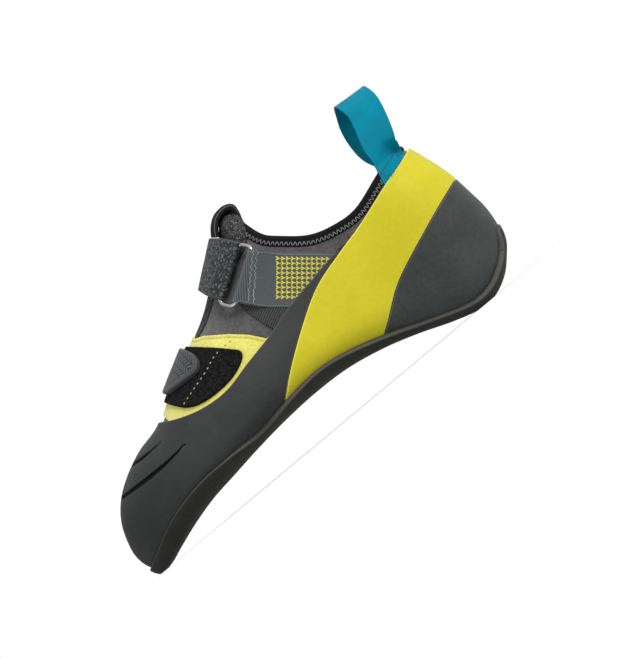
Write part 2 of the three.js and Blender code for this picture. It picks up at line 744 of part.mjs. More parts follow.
const pieces = [
  ['outsole', outsole, '#33342f', 0.75],
  ['insole', insole, '#8a8578', 0.9],
  ['upper', upper, '#57524f', 0.9],
  ['tongue', tongue, '#2b2b2c', 0.9],
  ['tongue_tab', tongue_tab, '#1d1d1e', 0.85],
  ['toe_rand', toe_rand, '#3b3d3c', 0.7],
  ['tension_band', tension_band, '#d2c52f', 0.55],
  ['heel_cup', heel_cup, '#434645', 0.5],
  ['collar_binding', collar_binding, '#1b1b1c', 0.7],
  ['vamp_panel', vamp_panel, '#d3cb5c', 0.9],
  ['loop_patch', loop_patch, '#1b1b1c', 1.0],
  ['lower_strap', lower_strap, '#393b3c', 0.6],
  ['side_elastic', side_elastic, '#2e2f30', 0.85],
  ['label_webbing', label_webbing, '#4a5355', 0.85],
  ['d_ring', d_ring, '#b9babb', 0.3, 1],
  ['upper_strap', upper_strap, '#393b3c', 0.6],
  ['pull_loop', pull_loop, '#0789a0', 0.8],
];

function mesh_of(name, shape, colour, roughness, metalness = 0) {
  const cut = shape.getMesh();
  const geometry = new THREE.BufferGeometry();
  geometry.setAttribute('position', new THREE.BufferAttribute(cut.vertProperties, 3));
  geometry.setIndex(new THREE.BufferAttribute(cut.triVerts, 1));
  geometry.computeVertexNormals();
  const material = new THREE.MeshStandardMaterial({ color: colour, roughness, metalness });
  const mesh = new THREE.Mesh(geometry, material);
  mesh.name = name;
  return mesh;
}

const shoe = new THREE.Group();
for (const [name, make, colour, roughness, metalness] of pieces) {
  shoe.add(mesh_of(name, make(), colour, roughness, metalness));
}

export default shoe;
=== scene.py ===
# Left climbing shoe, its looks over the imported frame.
# Metres, +Z up, toe to -X, outer side of the foot to -Y.
import math

import bmesh
import bpy
import numpy as np
from mathutils import Matrix, Vector


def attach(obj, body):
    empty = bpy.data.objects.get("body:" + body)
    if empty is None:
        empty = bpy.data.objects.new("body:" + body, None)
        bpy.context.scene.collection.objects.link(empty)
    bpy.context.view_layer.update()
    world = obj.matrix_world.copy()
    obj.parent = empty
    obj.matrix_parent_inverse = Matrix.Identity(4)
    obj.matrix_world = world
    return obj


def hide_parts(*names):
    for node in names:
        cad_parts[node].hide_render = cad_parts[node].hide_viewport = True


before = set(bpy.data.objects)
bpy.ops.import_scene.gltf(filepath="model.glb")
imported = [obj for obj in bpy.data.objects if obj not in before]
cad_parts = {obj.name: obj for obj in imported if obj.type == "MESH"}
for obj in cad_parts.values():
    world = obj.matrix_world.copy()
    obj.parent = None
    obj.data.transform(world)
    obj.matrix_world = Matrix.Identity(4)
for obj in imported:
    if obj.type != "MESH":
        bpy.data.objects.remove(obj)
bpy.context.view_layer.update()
mm = 0.001

# Overall sizes, as in the part's source
shoe_length = 250 * mm
heel_rest = 33 * mm
ball_width = 90 * mm
heel_width = 58 * mm
instep_height = 116 * mm
heel_height = 92 * mm
toe_height = 57 * mm
arch_rise = 20.5 * mm
collar_low = 79.5 * mm

# Walls and layers
fit_gap = 0.3 * mm
joint_gap = 0.5 * mm
upper_wall = 1.6 * mm
rubber = 1.8 * mm
sole_thickness = 3.5 * mm
sole_wrap = 2.2 * mm
sole_edge = 2.3 * mm
insole_thickness = 2 * mm
panel_thickness = 0.9 * mm
patch_thickness = 1.3 * mm
strap_thickness = 2.5 * mm
webbing_thickness = 1.2 * mm
ribbon_thickness = 1.1 * mm
tab_thickness = 1.8 * mm
binding_height = 4.2 * mm
throat_width = 26 * mm
strap_width = 27 * mm
webbing_width = 28.8 * mm
ribbon_width = 18 * mm
tab_width = 24 * mm
ring_length = 34 * mm
ring_width = 13.4 * mm
ring_wire = 2.2 * mm
ring_lift = 4.4 * mm

# Fineness of the blanks that are cut and draped over the last
stations = 230
round_steps = 200
tiny = 1e-7
wall_step = 0.02 * mm
rim_reach = 0.15 * mm
weld = 0.002 * mm

sole_bed = sole_thickness + fit_gap
cover = fit_gap + rubber
skin_length = shoe_length - 2 * cover
high = 2 * instep_height
front_x = heel_rest - 1.2 * shoe_length
rear_x = heel_rest + 0.2 * shoe_length

# Sections of the last, from the heel (at 0) to the toe (at 1), as in the part's source
columns = ["at", "low", "waist", "top", "outer", "inner", "ridge", "crown", "bed"]
heel = heel_height
instep = instep_height
toe = toe_height
arch = arch_rise
ball = ball_width
seat = heel_width
base = sole_bed
sections = np.array([
    [0.000, 0.413 * heel, 0.413 * heel, 0.413 * heel, 0, 0, 0, 2.2, 3.6],
    [0.003, 0.31 * heel, 0.41 * heel, 0.494 * heel, 0.107 * seat, 0.107 * seat, 0, 2.2, 3.6],
    [0.012, 0.24 * heel, 0.4 * heel, 0.665 * heel, 0.21 * seat, 0.21 * seat, 0, 2.2, 3.6],
    [0.030, 0.176 * heel, 0.39 * heel, 0.826 * heel, 0.32 * seat, 0.32 * seat, 0, 2.2, 3.7],
    [0.060, base + 0.25 * arch, 0.38 * heel, 1.03 * heel, 0.417 * seat, 0.417 * seat, 0, 2.2, 3.8],
    [0.100, base + 0.01 * arch, 0.37 * heel, 1.2 * heel, 0.476 * seat, 0.476 * seat, 0, 2.2, 3.9],
    [0.140, base - 0.02 * arch, 0.37 * heel, 1.27 * heel, 0.49 * seat, 0.49 * seat, 0, 2.2, 3.9],
    [0.200, base + 0.18 * arch, 0.31 * instep, 1.03 * instep, 0.49 * seat, 0.49 * seat, 0, 2.1, 3.8],
    [0.270, base + 0.5 * arch, 0.34 * instep, 1.03 * instep, 0.5 * seat, 0.475 * seat, 0, 2.1, 3.5],
    [0.340, base + 0.76 * arch, 0.36 * instep, 1.03 * instep, 0.543 * seat, 0.457 * seat,
     0.01 * ball, 2.0, 3.2],
    [0.420, base + 0.95 * arch, 0.37 * instep, instep, 0.395 * ball, 0.29 * ball, 0.02 * ball, 1.9, 3.1],
    [0.500, base + arch, 0.36 * instep, 0.88 * instep, 0.444 * ball, 0.317 * ball, 0.03 * ball, 1.8, 3.0],
    [0.580, base + 0.96 * arch, 0.33 * instep, 0.75 * instep, 0.487 * ball, 0.367 * ball,
     0.04 * ball, 1.85, 3.0],
    [0.660, base + 0.86 * arch, 0.295 * instep, 0.66 * instep, 0.5 * ball, 0.422 * ball,
     0.06 * ball, 2.0, 3.0],
    [0.740, base + 0.72 * arch, 0.525 * toe, 1.155 * toe, 0.467 * ball, 0.461 * ball, 0.09 * ball, 2.1, 3.0],
    [0.800, base + 0.61 * arch, 0.49 * toe, 1.000 * toe, 0.405 * ball, 0.472 * ball, 0.12 * ball, 2.2, 2.6],
    [0.860, base + 0.42 * arch, 0.43 * toe, 0.932 * toe, 0.305 * ball, 0.467 * ball, 0.15 * ball, 2.2, 2.6],
    [0.910, base + 0.21 * arch, 0.36 * toe, 0.835 * toe, 0.19 * ball, 0.45 * ball, 0.18 * ball, 2.2, 2.6],
    [0.950, base + 0.03 * arch, 0.307 * toe, 0.715 * toe, 0.072 * ball, 0.417 * ball, 0.2 * ball, 2.2, 2.6],
    [0.980, base - 0.01 * arch, 0.27 * toe, 0.555 * toe, -0.04 * ball, 0.361 * ball, 0.215 * ball, 2.2, 2.5],
    [0.995, 0.15 * toe, 0.263 * toe, 0.39 * toe, -0.135 * ball, 0.295 * ball, 0.22 * ball, 2.2, 2.4],
    [1.000, 0.263 * toe, 0.263 * toe, 0.263 * toe, -0.222 * ball, 0.222 * ball, 0.222 * ball, 2.2, 2.4],
])
knots = np.arccos(1 - 2 * sections[:, 0])
row_before = np.maximum(np.arange(len(sections)) - 1, 0)
row_after = np.minimum(np.arange(len(sections)) + 1, len(sections) - 1)
slopes = (sections[row_after] - sections[row_before]) / (knots[row_after] - knots[row_before])[:, None]


def section_at(at):
    """Smooth values of all columns between their rows."""
    angle = np.arccos(1 - 2 * np.clip(at, 0, 1))
    row = np.clip(np.searchsorted(knots, angle) - 1, 0, len(knots) - 2)
    span = knots[row + 1] - knots[row]
    u = ((angle - knots[row]) / span)[:, None]
    leaving = slopes[row] * span[:, None]
    arriving = slopes[row + 1] * span[:, None]
    values = (2 * u ** 3 - 3 * u ** 2 + 1) * sections[row] + (u ** 3 - 2 * u ** 2 + u) * leaving
    values += (3 * u ** 2 - 2 * u ** 3) * sections[row + 1] + (u ** 3 - u ** 2) * arriving
    return dict(zip(columns, values.T))


def section_over(x):
    """The last's section at a place along the frame."""
    return section_at((heel_rest - cover - x) / skin_length)


def unit(ways):
    return ways / np.linalg.norm(ways, axis=-1, keepdims=True)


def gone_along(line):
    """How far a line has run at each of its points."""
    return np.concatenate([[0], np.cumsum(np.linalg.norm(np.diff(line, axis=0), axis=1))])


def quarter_round(distance, radius):
    """From 0 to 1 over the radius, along a quarter of a circle."""
    near = np.clip(distance / radius, 0, 1)
    return np.sqrt(1 - (1 - near) ** 2)


skin_form = {"longer": 0, "wider": 0, "lower": 0, "crisper": 0}
sole_form = {
    "longer": fit_gap + sole_wrap, "wider": sole_edge, "lower": sole_bed, "crisper": 0.8}


def end_swell(along):
    """How far the sole has swelled out from its two end points, from 0 to 1."""
    return quarter_round(np.minimum(along, 1 - along), 0.06)


def last_point(along, turn, form=skin_form):
    """Points on the last. Along runs from heel to toe, turn from the ridge to the outer side."""
    at = (1 - np.cos(math.pi * np.clip(along, 0, 1))) / 2
    cut_here = section_at(at)
    swell = end_swell(along)
    x = heel_rest - cover + form["longer"] - at * (skin_length + 2 * form["longer"])
    across = np.sin(turn)
    up = np.cos(turn)
    power = np.where(up > 0, cut_here["crown"], cut_here["bed"] + form["crisper"])
    size = (np.abs(across) ** power + np.abs(up) ** power) ** (-1 / power)
    wider = form["wider"] * swell
    lower = form["lower"] * swell
    edge = np.where(across > 0, -cut_here["outer"] - wider, cut_here["inner"] + wider)
    rise = cut_here["top"] - cut_here["waist"]
    drop = cut_here["waist"] - cut_here["low"] + lower
    y = cut_here["ridge"] + (edge - cut_here["ridge"]) * np.abs(across) * size
    z = cut_here["waist"] + np.where(up > 0, rise, drop) * up * size
    return np.stack([x, y, z], axis=1)


def last_normal(along, turn, form=skin_form):
    step = 1e-4
    inside = np.clip(along, 2e-3, 1 - 2e-3)
    ahead = last_point(inside + step, turn, form) - last_point(inside - step, turn, form)
    around = last_point(inside, turn + step, form) - last_point(inside, turn - step, form)
    return unit(np.cross(ahead, around))


def girth(along, turn):
    """Length round the last from its ridge, with the sign of the turn."""
    steps = 24
    length = np.zeros(len(turn))
    before = last_point(along, turn * 0)
    for k in range(1, steps + 1):
        here = last_point(along, turn * k / steps)
        length += np.linalg.norm(here - before, axis=1)
        before = here
    return length * np.sign(turn)


def skin_side(x, z, side):
    """How far out the skin is at a place in the side view. Side is -1 outside, 1 inside."""
    cut_here = section_over(x)
    above_waist = z > cut_here["waist"]
    over = (z - cut_here["waist"]) / (cut_here["top"] - cut_here["waist"])
    under = (cut_here["waist"] - z) / (cut_here["waist"] - cut_here["low"])
    share = np.clip(np.where(above_waist, over, under), 0, 1)
    power = np.where(above_waist, cut_here["crown"], cut_here["bed"])
    edge = cut_here["inner"] if side > 0 else -cut_here["outer"]
    return cut_here["ridge"] + (edge - cut_here["ridge"]) * (1 - share ** power) ** (1 / power)


def skin_frame(x, z, side=-1):
    """Points on one side of the skin and the ways out of it."""
    x = np.atleast_1d(np.asarray(x, float))
    z = np.atleast_1d(np.asarray(z, float))
    step = 0.3 * mm
    y = skin_side(x, z, side)
    slope_x = (skin_side(x + step, z, side) - skin_side(x - step, z, side)) / (2 * step)
    slope_z = (skin_side(x, z + step, side) - skin_side(x, z - step, side)) / (2 * step)
    out = np.stack([-slope_x * side, np.full(len(x), float(side)), -slope_z * side], axis=1)
    return np.stack([x, y, z], axis=1), unit(out)


# Lines in the side view: [share of the shoe's length from the heel, height]
def side_line(points):
    return np.array([[heel_rest - share * shoe_length, up] for share, up in points])


def smooth(points, steps):
    """A smooth curve through points, as the part's source draws it."""
    drawn = []
    last = len(points) - 1
    for k in range(steps + 1):
        place = last * k / steps
        row = min(int(place), last)
        part = place - row
        before = points[max(row - 1, 0)]
        start = points[row]
        end = points[min(row + 1, last)]
        after = points[min(row + 2, last)]
        leave = (end - before) / 2
        arrive = (after - start) / 2
        drawn.append(
            (2 * start - 2 * end + leave + arrive) * part ** 3
            + (-3 * start + 3 * end - 2 * leave - arrive) * part ** 2
            + leave * part + start)
    return np.array(drawn)


def moved(points, back, up):
    return points + np.array([back, up])


def beside(points, distance):
    """A line moved sideways, to its left as it runs."""
    way = unit(np.gradient(points, axis=0))
    return points + distance * np.stack([-way[:, 1], way[:, 0]], axis=1)


def joined(*parts):
    return np.array([point for part in parts for point in np.atleast_2d(part)])


def above(line):
    return joined(line, [line[-1][0], high], [line[0][0], high])


sole_line = smooth(side_line([
    [1.020, 0.10 * arch], [0.980, 0.36 * arch], [0.897, 0.86 * arch],
    [0.806, 1.12 * arch], [0.720, 1.14 * arch], [0.640, 1.07 * arch],
    [0.540, 1.28 * arch], [0.452, 1.34 * arch], [0.344, 1.01 * arch],
    [0.194, 0.36 * arch], [0.132, 0.17 * arch], [0.080, 0.28 * arch],
    [0.028, 0.72 * arch], [0.004, 1.28 * arch], [-0.020, 1.40 * arch],
]), 70)
rand_top = smooth(side_line([
    [0.228, 0.772 * heel], [0.310, 0.740 * heel], [0.435, 0.679 * heel],
    [0.502, 0.625 * heel], [0.571, 0.584 * heel], [0.640, 0.541 * heel],
    [0.700, 0.548 * heel], [0.750, 0.587 * heel], [0.794, 1.040 * toe],
]), 40)
band_front = smooth(side_line([
    [0.020, 0.96 * heel], [0.068, 0.904 * heel], [0.134, 0.850 * heel],
    [0.218, 0.777 * heel], [0.288, 0.730 * heel], [0.368, 0.665 * heel],
    [0.446, 0.543 * heel], [0.533, 0.378 * heel], [0.600, 0.240 * heel],
]), 48)
band_rear = smooth(side_line([
    [-0.02, 0.660 * heel], [0.011, 0.638 * heel], [0.063, 0.591 * heel],
    [0.129, 0.522 * heel], [0.230, 0.408 * heel], [0.298, 0.286 * heel],
    [0.360, 0.190 * heel],
]), 36)
collar_line = smooth(side_line([
    [0.402, 1.030 * instep], [0.397, 0.955 * instep], [0.383, 0.862 * instep],
    [0.358, 0.805 * instep], [0.312, 1.062 * collar_low], [0.262, 1.010 * collar_low],
    [0.207, collar_low], [0.137, 1.070 * collar_low], [0.054, 1.006 * heel],
    [-0.02, 1.08 * heel],
]), 60)


# Fields: signed distances in a view, above zero inside
def inside(outline, view=(0, 2)):
    outline = np.asarray(outline)
    ends = np.roll(outline, -1, axis=0)

    def field(place):
        across = place[:, view[0]]
        up = place[:, view[1]]
        nearest = np.full(len(across), 1.0)
        odd = np.zeros(len(across), bool)
        for (ax, az), (bx, bz) in zip(outline, ends):
            dx = bx - ax
            dz = bz - az
            share = np.clip(((across - ax) * dx + (up - az) * dz) / (dx * dx + dz * dz + tiny ** 2), 0, 1)
            nearest = np.minimum(nearest, np.hypot(across - ax - share * dx, up - az - share * dz))
            if dz != 0:
                odd ^= ((az > up) != (bz > up)) & (across < dx * (up - az) / dz + ax)
        return np.where(odd, nearest, -nearest)

    return field


def outside(field):
    return lambda place: -field(place)


def both(*fields):
    return lambda place: np.min([field(place) for field in fields], axis=0)


def outward_of(limit):
    return lambda place: limit - place[:, 1]


def inward_of(limit):
    return lambda place: place[:, 1] - limit


# Blanks: flat sheets in along and turn, cut to an outline and then draped over a body
def blank(field, body, margin=3 * mm):
    flat = bmesh.new()
    bmesh.ops.create_grid(flat, x_segments=stations, y_segments=round_steps, size=0.5)
    bmesh.ops.scale(flat, vec=(1, 2 * math.pi, 1), verts=flat.verts)
    bmesh.ops.translate(flat, vec=(0.5, 0, 0), verts=flat.verts)
    flat.verts.index_update()
    keep = field(places(flat, body)) > -margin
    far = [face for face in flat.faces if not any(keep[vert.index] for vert in face.verts)]
    bmesh.ops.delete(flat, geom=far, context="FACES")
    return flat


def spread(flat):
    at = np.array([vert.co for vert in flat.verts])
    return at[:, 0], at[:, 1]


def places(flat, body):
    return last_point(*spread(flat), body)


def cut_line(flat, field, level, body):
    """Edges along the line where the field has the level's value."""
    flat.verts.index_update()
    value = field(places(flat, body)) - level
    value[np.abs(value) < tiny] = tiny
    crossed = []
    for edge in flat.edges:
        start, end = edge.verts
        if (value[start.index] > 0) != (value[end.index] > 0):
            crossed.append((edge, start, value[start.index], value[end.index]))
    new = [bmesh.utils.edge_split(edge, start, a / (a - b))[1] for edge, start, a, b in crossed]
    bmesh.ops.connect_verts(flat, verts=new)


def trim(flat, field, body):
    """Leaves only what is inside the field, cut along its line."""
    cut_line(flat, field, 0, body)
    middle = np.array([face.calc_center_median() for face in flat.faces])
    value = field(last_point(middle[:, 0], middle[:, 1], body))
    away = [face for face, here in zip(flat.faces, value) if here < 0]
    bmesh.ops.delete(flat, geom=away, context="FACES")


rim_angles = [0, 25, 45, 65, 90]


def rim_levels(radius):
    return [wall_step + radius * (1 - math.cos(math.radians(angle))) for angle in rim_angles]


def rounded(low, top, radius):
    """Height over the skin for a distance from the edge: a wall, then a rounded rim."""
    def height(distance):
        wall = np.clip(distance / wall_step, 0, 1)
        return low + (top - radius - low) * wall + radius * quarter_round(distance - wall_step, radius)
    return height


def mesh_of(name, flat, sharp=38):
    for face in flat.faces:
        face.smooth = True
    for edge in flat.edges:
        if edge.is_manifold and edge.calc_face_angle(0) > math.radians(sharp):
            edge.smooth = False
    mesh = bpy.data.meshes.new(name)
    flat.to_mesh(mesh)
    flat.free()
    piece = bpy.data.objects.new(name, mesh)
    bpy.context.scene.collection.objects.link(piece)
    return piece


def drape(
        name, field, height, radius, lining=None, relief=None, extra_cuts=(), charted=False, body=skin_form):
    """A piece of the field's outline over the last. With a lining it is closed inside too."""
    flat = blank(field, body)
    trim(flat, field, body)
    for level in rim_levels(radius):
        cut_line(flat, field, level, body)
    for line, level in extra_cuts:
        cut_line(flat, line, level, body)
    along, turn = spread(flat)
    place = last_point(along, turn, body)
    normal = last_normal(along, turn, body)
    distance = field(place)
    rim = np.array([vert.is_boundary for vert in flat.verts]) & (np.abs(distance) < rim_reach)
    distance[rim] = 0
    lift = height(distance)
    if relief:
        lift = lift + relief(place)
    outer = place + normal * lift[:, None]
    outer[:, 2] = np.maximum(outer[:, 2], 0)
    # Kept for the finishes: the distance from the rim, where rubber gets a partly painted highlight, and the
    # sunk depth, where painted shade goes.
    edge_layer = flat.verts.layers.float.new("rim")
    deep_layer = flat.verts.layers.float.new("depth_for_painted_shade")
    sunk = -relief(place) if relief else np.zeros(len(place))
    flat.verts.index_update()
    for vert, near, low in zip(flat.verts, distance, sunk):
        vert[edge_layer] = near / mm
        vert[deep_layer] = max(0, low / mm)
    if charted:
        chart = flat.loops.layers.uv.new("chart")
        round_it = girth(along, turn)
        for face in flat.faces:
            for loop in face.loops:
                k = loop.vert.index
                loop[chart].uv = (place[k][0] / mm, round_it[k] / mm)
    skin = list(flat.verts)
    if lining:
        copy = bmesh.ops.duplicate(flat, geom=flat.verts[:] + flat.edges[:] + flat.faces[:])
        faces = [item for item in copy["geom"] if isinstance(item, bmesh.types.BMFace)]
        bmesh.ops.reverse_faces(flat, faces=faces)
        under = place + normal * lining(distance)[:, None]
        for vert, point in zip(skin, under):
            copy["vert_map"][vert].co = point
    for vert, point in zip(skin, outer):
        vert.co = point
    bmesh.ops.remove_doubles(flat, verts=flat.verts, dist=weld)
    return mesh_of(name, flat)


# Slabs: flat grids laid out over given points, with a thickness and a rounded rim
def sheet_of(name, points, chart):
    rows, across = points.shape[:2]
    flat = bmesh.new()
    bmesh.ops.create_grid(flat, x_segments=rows - 1, y_segments=across - 1, size=0.5)
    spots = {}
    for vert in flat.verts:
        spots[vert] = (round((vert.co.x + 0.5) * (rows - 1)), round((vert.co.y + 0.5) * (across - 1)))
    layer = flat.loops.layers.uv.new("chart")
    for face in flat.faces:
        for loop in face.loops:
            loop[layer].uv = chart[spots[loop.vert]] / mm
    for vert, spot in spots.items():
        vert.co = points[spot]
    return mesh_of(name, flat, sharp=180)


def thicken(piece, thickness, rim, segments=3):
    wall = piece.modifiers.new("wall", "SOLIDIFY")
    wall.thickness = thickness
    wall.offset = 0
    wall.use_even_offset = True
    if rim:
        edge = piece.modifiers.new("edge", "BEVEL")
        edge.width = rim
        edge.segments = segments
        edge.limit_method = "ANGLE"
        edge.angle_limit = math.radians(60)
        edge.harden_normals = True
    return piece


def outward_normals(points, towards):
    """Ways out of a grid of points, on the side of given ways."""
    ahead = np.gradient(points, axis=0)
    aside = np.gradient(points, axis=1)
    way = np.cross(ahead, aside)
    way /= np.linalg.norm(way, axis=2)[..., None] + tiny
    flip = np.sign(np.sum(way * towards, axis=2))
    return way * np.where(flip == 0, 1, flip)[..., None]


# Threads: short rounded stitches laid on a surface
def stitches(name, spots, length, radius):
    """Each spot is a middle point, a way along and a way out."""
    threads = bmesh.new()
    for middle, along, out in spots:
        along = Vector(along).normalized()
        out = Vector(out)
        out = (out - along * out.dot(along)).normalized()
        side = out.cross(along)
        turn = Matrix((along * length / 2, side * radius, out * radius)).transposed().to_4x4()
        bmesh.ops.create_uvsphere(
            threads, u_segments=6, v_segments=5, radius=1,
            matrix=Matrix.Translation(Vector(middle)) @ turn @ Matrix.Rotation(math.pi / 2, 4, "Y"))
    return mesh_of(name, threads, sharp=180)


def spaced(line, pitch):
    """Points a pitch apart along a line, with the way it runs there."""
    gone = gone_along(line)
    wanted = np.arange(pitch / 2, gone[-1], pitch)
    found = np.stack([np.interp(wanted, gone, line[:, k]) for k in range(line.shape[1])], axis=1)
    way = np.gradient(found, axis=0) if len(found) > 1 else np.diff(line[:2], axis=0)
    return found, way


def beneath(line, lift, side=-1):
    """The skin's places that are seen at a line once they are lifted off the skin."""
    found = line
    for _ in range(4):
        out = skin_frame(found[:, 0], found[:, 1], side)[1]
        found = line - out[:, [0, 2]] * lift
    return found


def sewn_line(line, pitch, lift, side=-1):
    """Stitch places along a line of the side view, at a height over the skin."""
    line = beneath(line, lift, side)
    place, out = skin_frame(line[:, 0], line[:, 1], side)
    path, way = spaced(place + out * lift, pitch)
    outs = np.stack([np.interp(path[:, 0], *sorted_pair(place[:, 0], out[:, k])) for k in range(3)], axis=1)
    return list(zip(path, way, outs))


def sorted_pair(keys, values):
    order = np.argsort(keys)
    return keys[order], values[order]


# The ring's frame on the outer side
ring_tilt = math.radians(33)
ring_middle = side_line([[0.4728, 0.7714 * instep]])[0]
ring_along = np.array([math.cos(ring_tilt), math.sin(ring_tilt)])
ring_across = np.array([-math.sin(ring_tilt), math.cos(ring_tilt)])
bar = (ring_width - ring_wire) / 2
strap_shift = 0.04 * ring_length


def ring_point(along, across):
    return ring_middle + along * ring_along + across * ring_across


def hoop(slant, start, arcs):
    """Points round the foot in the strap's plane, at given lengths from the ring."""
    low, top = start, start + 90 * mm
    for _ in range(50):
        middle = (low + top) / 2
        x, z = ring_point(slant, middle)
        ridge = section_over(np.array([x]))["top"][0]
        low, top = (middle, top) if z < ridge else (low, middle)
    climb = np.sin(np.linspace(0, math.pi / 2, 120))
    outer = start + (low - start) * climb
    fall = start - 30 * mm + (low - start + 30 * mm) * climb[::-1]
    line = []
    for heights, side in ((outer, -1), (fall[1:], 1)):
        spots = np.array([ring_point(slant, height) for height in heights])
        y = skin_side(spots[:, 0], np.minimum(spots[:, 1], 1), side)
        line.append(np.stack([spots[:, 0], y, spots[:, 1]], axis=1))
    line = np.concatenate(line)
    gone = gone_along(line)
    return np.stack([np.interp(arcs, gone, line[:, k]) for k in range(3)], axis=1)


def ring_frame():
    place, out = skin_frame(*ring_middle)
    out = out[0]
    across = np.array([ring_across[0], 0, ring_across[1]])
    across -= out * across.dot(out)
    across /= np.linalg.norm(across)
    return place[0], np.cross(across, out), across, out


# Pieces over the last
def over_sole(drop=1.5 * mm):
    line = moved(sole_line, 0, fit_gap - drop)
    return inside(joined(line, [rear_x, high], [front_x, high]))


rubber_rim = 0.55 * mm
rubber_top = fit_gap + rubber


def rubber_field(outline):
    return both(inside(outline), over_sole())


def slit_outline(line, width):
    """An outline along a line that is blunt in front and runs out behind."""
    along = np.linspace(0, 1, len(line))
    swell = width / 2 * (0.66 + 0.34 * np.sin(math.pi * np.minimum(1, along * 1.3))) * (1 - along ** 7)
    aside = np.stack([0 * swell, swell], 1)
    return joined(line + aside, (line - aside)[-2::-1])


def before_ridge(place):
    """How far a place is to the outer side of the last's ridge."""
    return section_over(place[:, 0])["ridge"] - place[:, 1]


upper_slit = smooth(side_line([
    [0.905, 0.889 * toe], [0.870, 0.876 * toe], [0.841, 0.871 * toe], [0.806, 0.876 * toe]]), 24)
lower_slit = smooth(side_line([
    [0.947, 0.722 * toe], [0.902, 0.714 * toe], [0.853, 0.710 * toe], [0.810, 0.718 * toe],
    [0.767, 0.744 * toe]]), 32)
slit_cuts = both(outside(both(
    outside(inside(slit_outline(upper_slit, 1.5 * mm))),
    outside(inside(slit_outline(lower_slit, 2.2 * mm))))), before_ridge)


def toe_rand():
    front = moved(band_front, -joint_gap, 0)
    front = front[front[:, 0] < rand_top[0][0]][::-1]
    outline = joined(
        rand_top, [rand_top[-1][0], high], [front_x, high], [front_x, 0], [front[0][0], 0], front)

    def slits(place):
        depth = np.clip(slit_cuts(place) / (0.3 * mm), 0, 1)
        return -(rubber - 0.2 * mm) * depth ** 0.5

    return drape(
        "toe_rand_rubber", rubber_field(outline), rounded(0, rubber_top, rubber_rim), rubber_rim,
        relief=slits, extra_cuts=[(slit_cuts, 0), (slit_cuts, 0.1 * mm), (slit_cuts, 0.3 * mm)])


def tension_band():
    outline = joined([rear_x, band_front[0][1]], band_front, band_rear[::-1], [rear_x, band_rear[0][1]])
    return drape(
        "tension_band_rubber", rubber_field(outline), rounded(0, rubber_top, rubber_rim), rubber_rim)


def heel_cup():
    rear = moved(band_rear, joint_gap, 0)
    outline = joined([rear_x, rear[0][1]], rear, [rear[-1][0], 0], [rear_x, 0])
    return drape("heel_cup_rubber", rubber_field(outline), rounded(0, rubber_top, rubber_rim), rubber_rim)


def outsole():
    """The sole's side and bottom. Its upper rim turns in and ends inside the rubber."""
    field = inside(joined(sole_line, [rear_x, -high], [front_x, -high]))
    return drape("sole_rubber_slab", field, rounded(-3 * mm, 0, 0.9 * mm), 0.9 * mm, body=sole_form)


def throat_outline(margin):
    half = throat_width / 2 + margin
    rear = heel_rest - 0.392 * shoe_length + margin
    front = heel_rest - 0.632 * shoe_length + throat_width / 2
    middle = 0.035 * ball_width
    turns = np.linspace(math.pi / 2, 1.5 * math.pi, 24)
    arc = np.stack([front + half * np.cos(turns), middle + half * np.sin(turns)], axis=1)
    return joined([rear, middle - half], [rear, middle + half], arc)


def high_up(place):
    return place[:, 2] - 0.5 * instep_height


def throat_field(margin):
    return both(inside(throat_outline(margin), view=(0, 1)), high_up)


def upper():
    lining_line = beside(collar_line, -binding_height + 1 * mm)
    field = both(outside(inside(above(lining_line))), outside(throat_field(0)))
    fold = 0.7 * mm

    def outer(distance):
        return -upper_wall / 2 + upper_wall / 2 * quarter_round(distance, fold)

    def inner(distance):
        return -upper_wall / 2 - upper_wall / 2 * quarter_round(distance, fold)

    return drape("upper_suede", field, outer, fold, lining=inner, charted=True)


def collar_binding():
    depth = 6.0 * mm
    groove_depth = 2.9 * mm
    groove_half = 0.5 * mm
    strip = inside(joined(collar_line, beside(collar_line, -depth)[::-1]))

    def ends(place):
        return np.maximum(-place[:, 1], 0.875 * instep - place[:, 2])

    field = both(strip, outside(throat_field(0)), ends)
    top = 0.9 * mm
    middle = -upper_wall / 2
    round_over = 1.5 * mm

    def outer(distance):
        return middle + (top - middle) * quarter_round(distance, round_over)

    def inner(distance):
        return middle - (top - middle) * quarter_round(distance, round_over)

    def groove(place):
        near = strip(place)
        depth_here = skin_depth(place, collar_line)
        trough = np.exp(-((depth_here - groove_depth) / (0.45 * mm)) ** 2)
        return -0.35 * mm * trough * (near > 0.3 * mm)

    line = inside(above(beside(collar_line, -groove_depth)))
    return drape(
        "collar_binding_tape", field, outer, round_over, lining=inner, relief=groove, charted=True,
        extra_cuts=[(line, -groove_half), (line, 0), (line, groove_half)])


def skin_depth(place, line):
    """Distance below a line of the side view."""
    return -inside(above(line))(place)


def insole():
    margin = 4.5 * mm
    top = -upper_wall - 0.2 * mm

    def field(place):
        at = (heel_rest - cover - place[:, 0]) / skin_length
        cut_here = section_at(at)
        sides = np.minimum(place[:, 1] + cut_here["outer"], cut_here["inner"] - place[:, 1])
        ends = np.minimum(at - 0.035, 0.965 - at) * skin_length
        under = cut_here["waist"] - 6 * mm - place[:, 2]
        return np.minimum(np.minimum(sides, ends) - margin, under)

    def upward(distance):
        return top - insole_thickness * quarter_round(distance, 1 * mm)

    def downward(distance):
        return np.full(len(distance), top)

    return drape("insole_board_sheet", field, downward, 1 * mm, lining=upward)


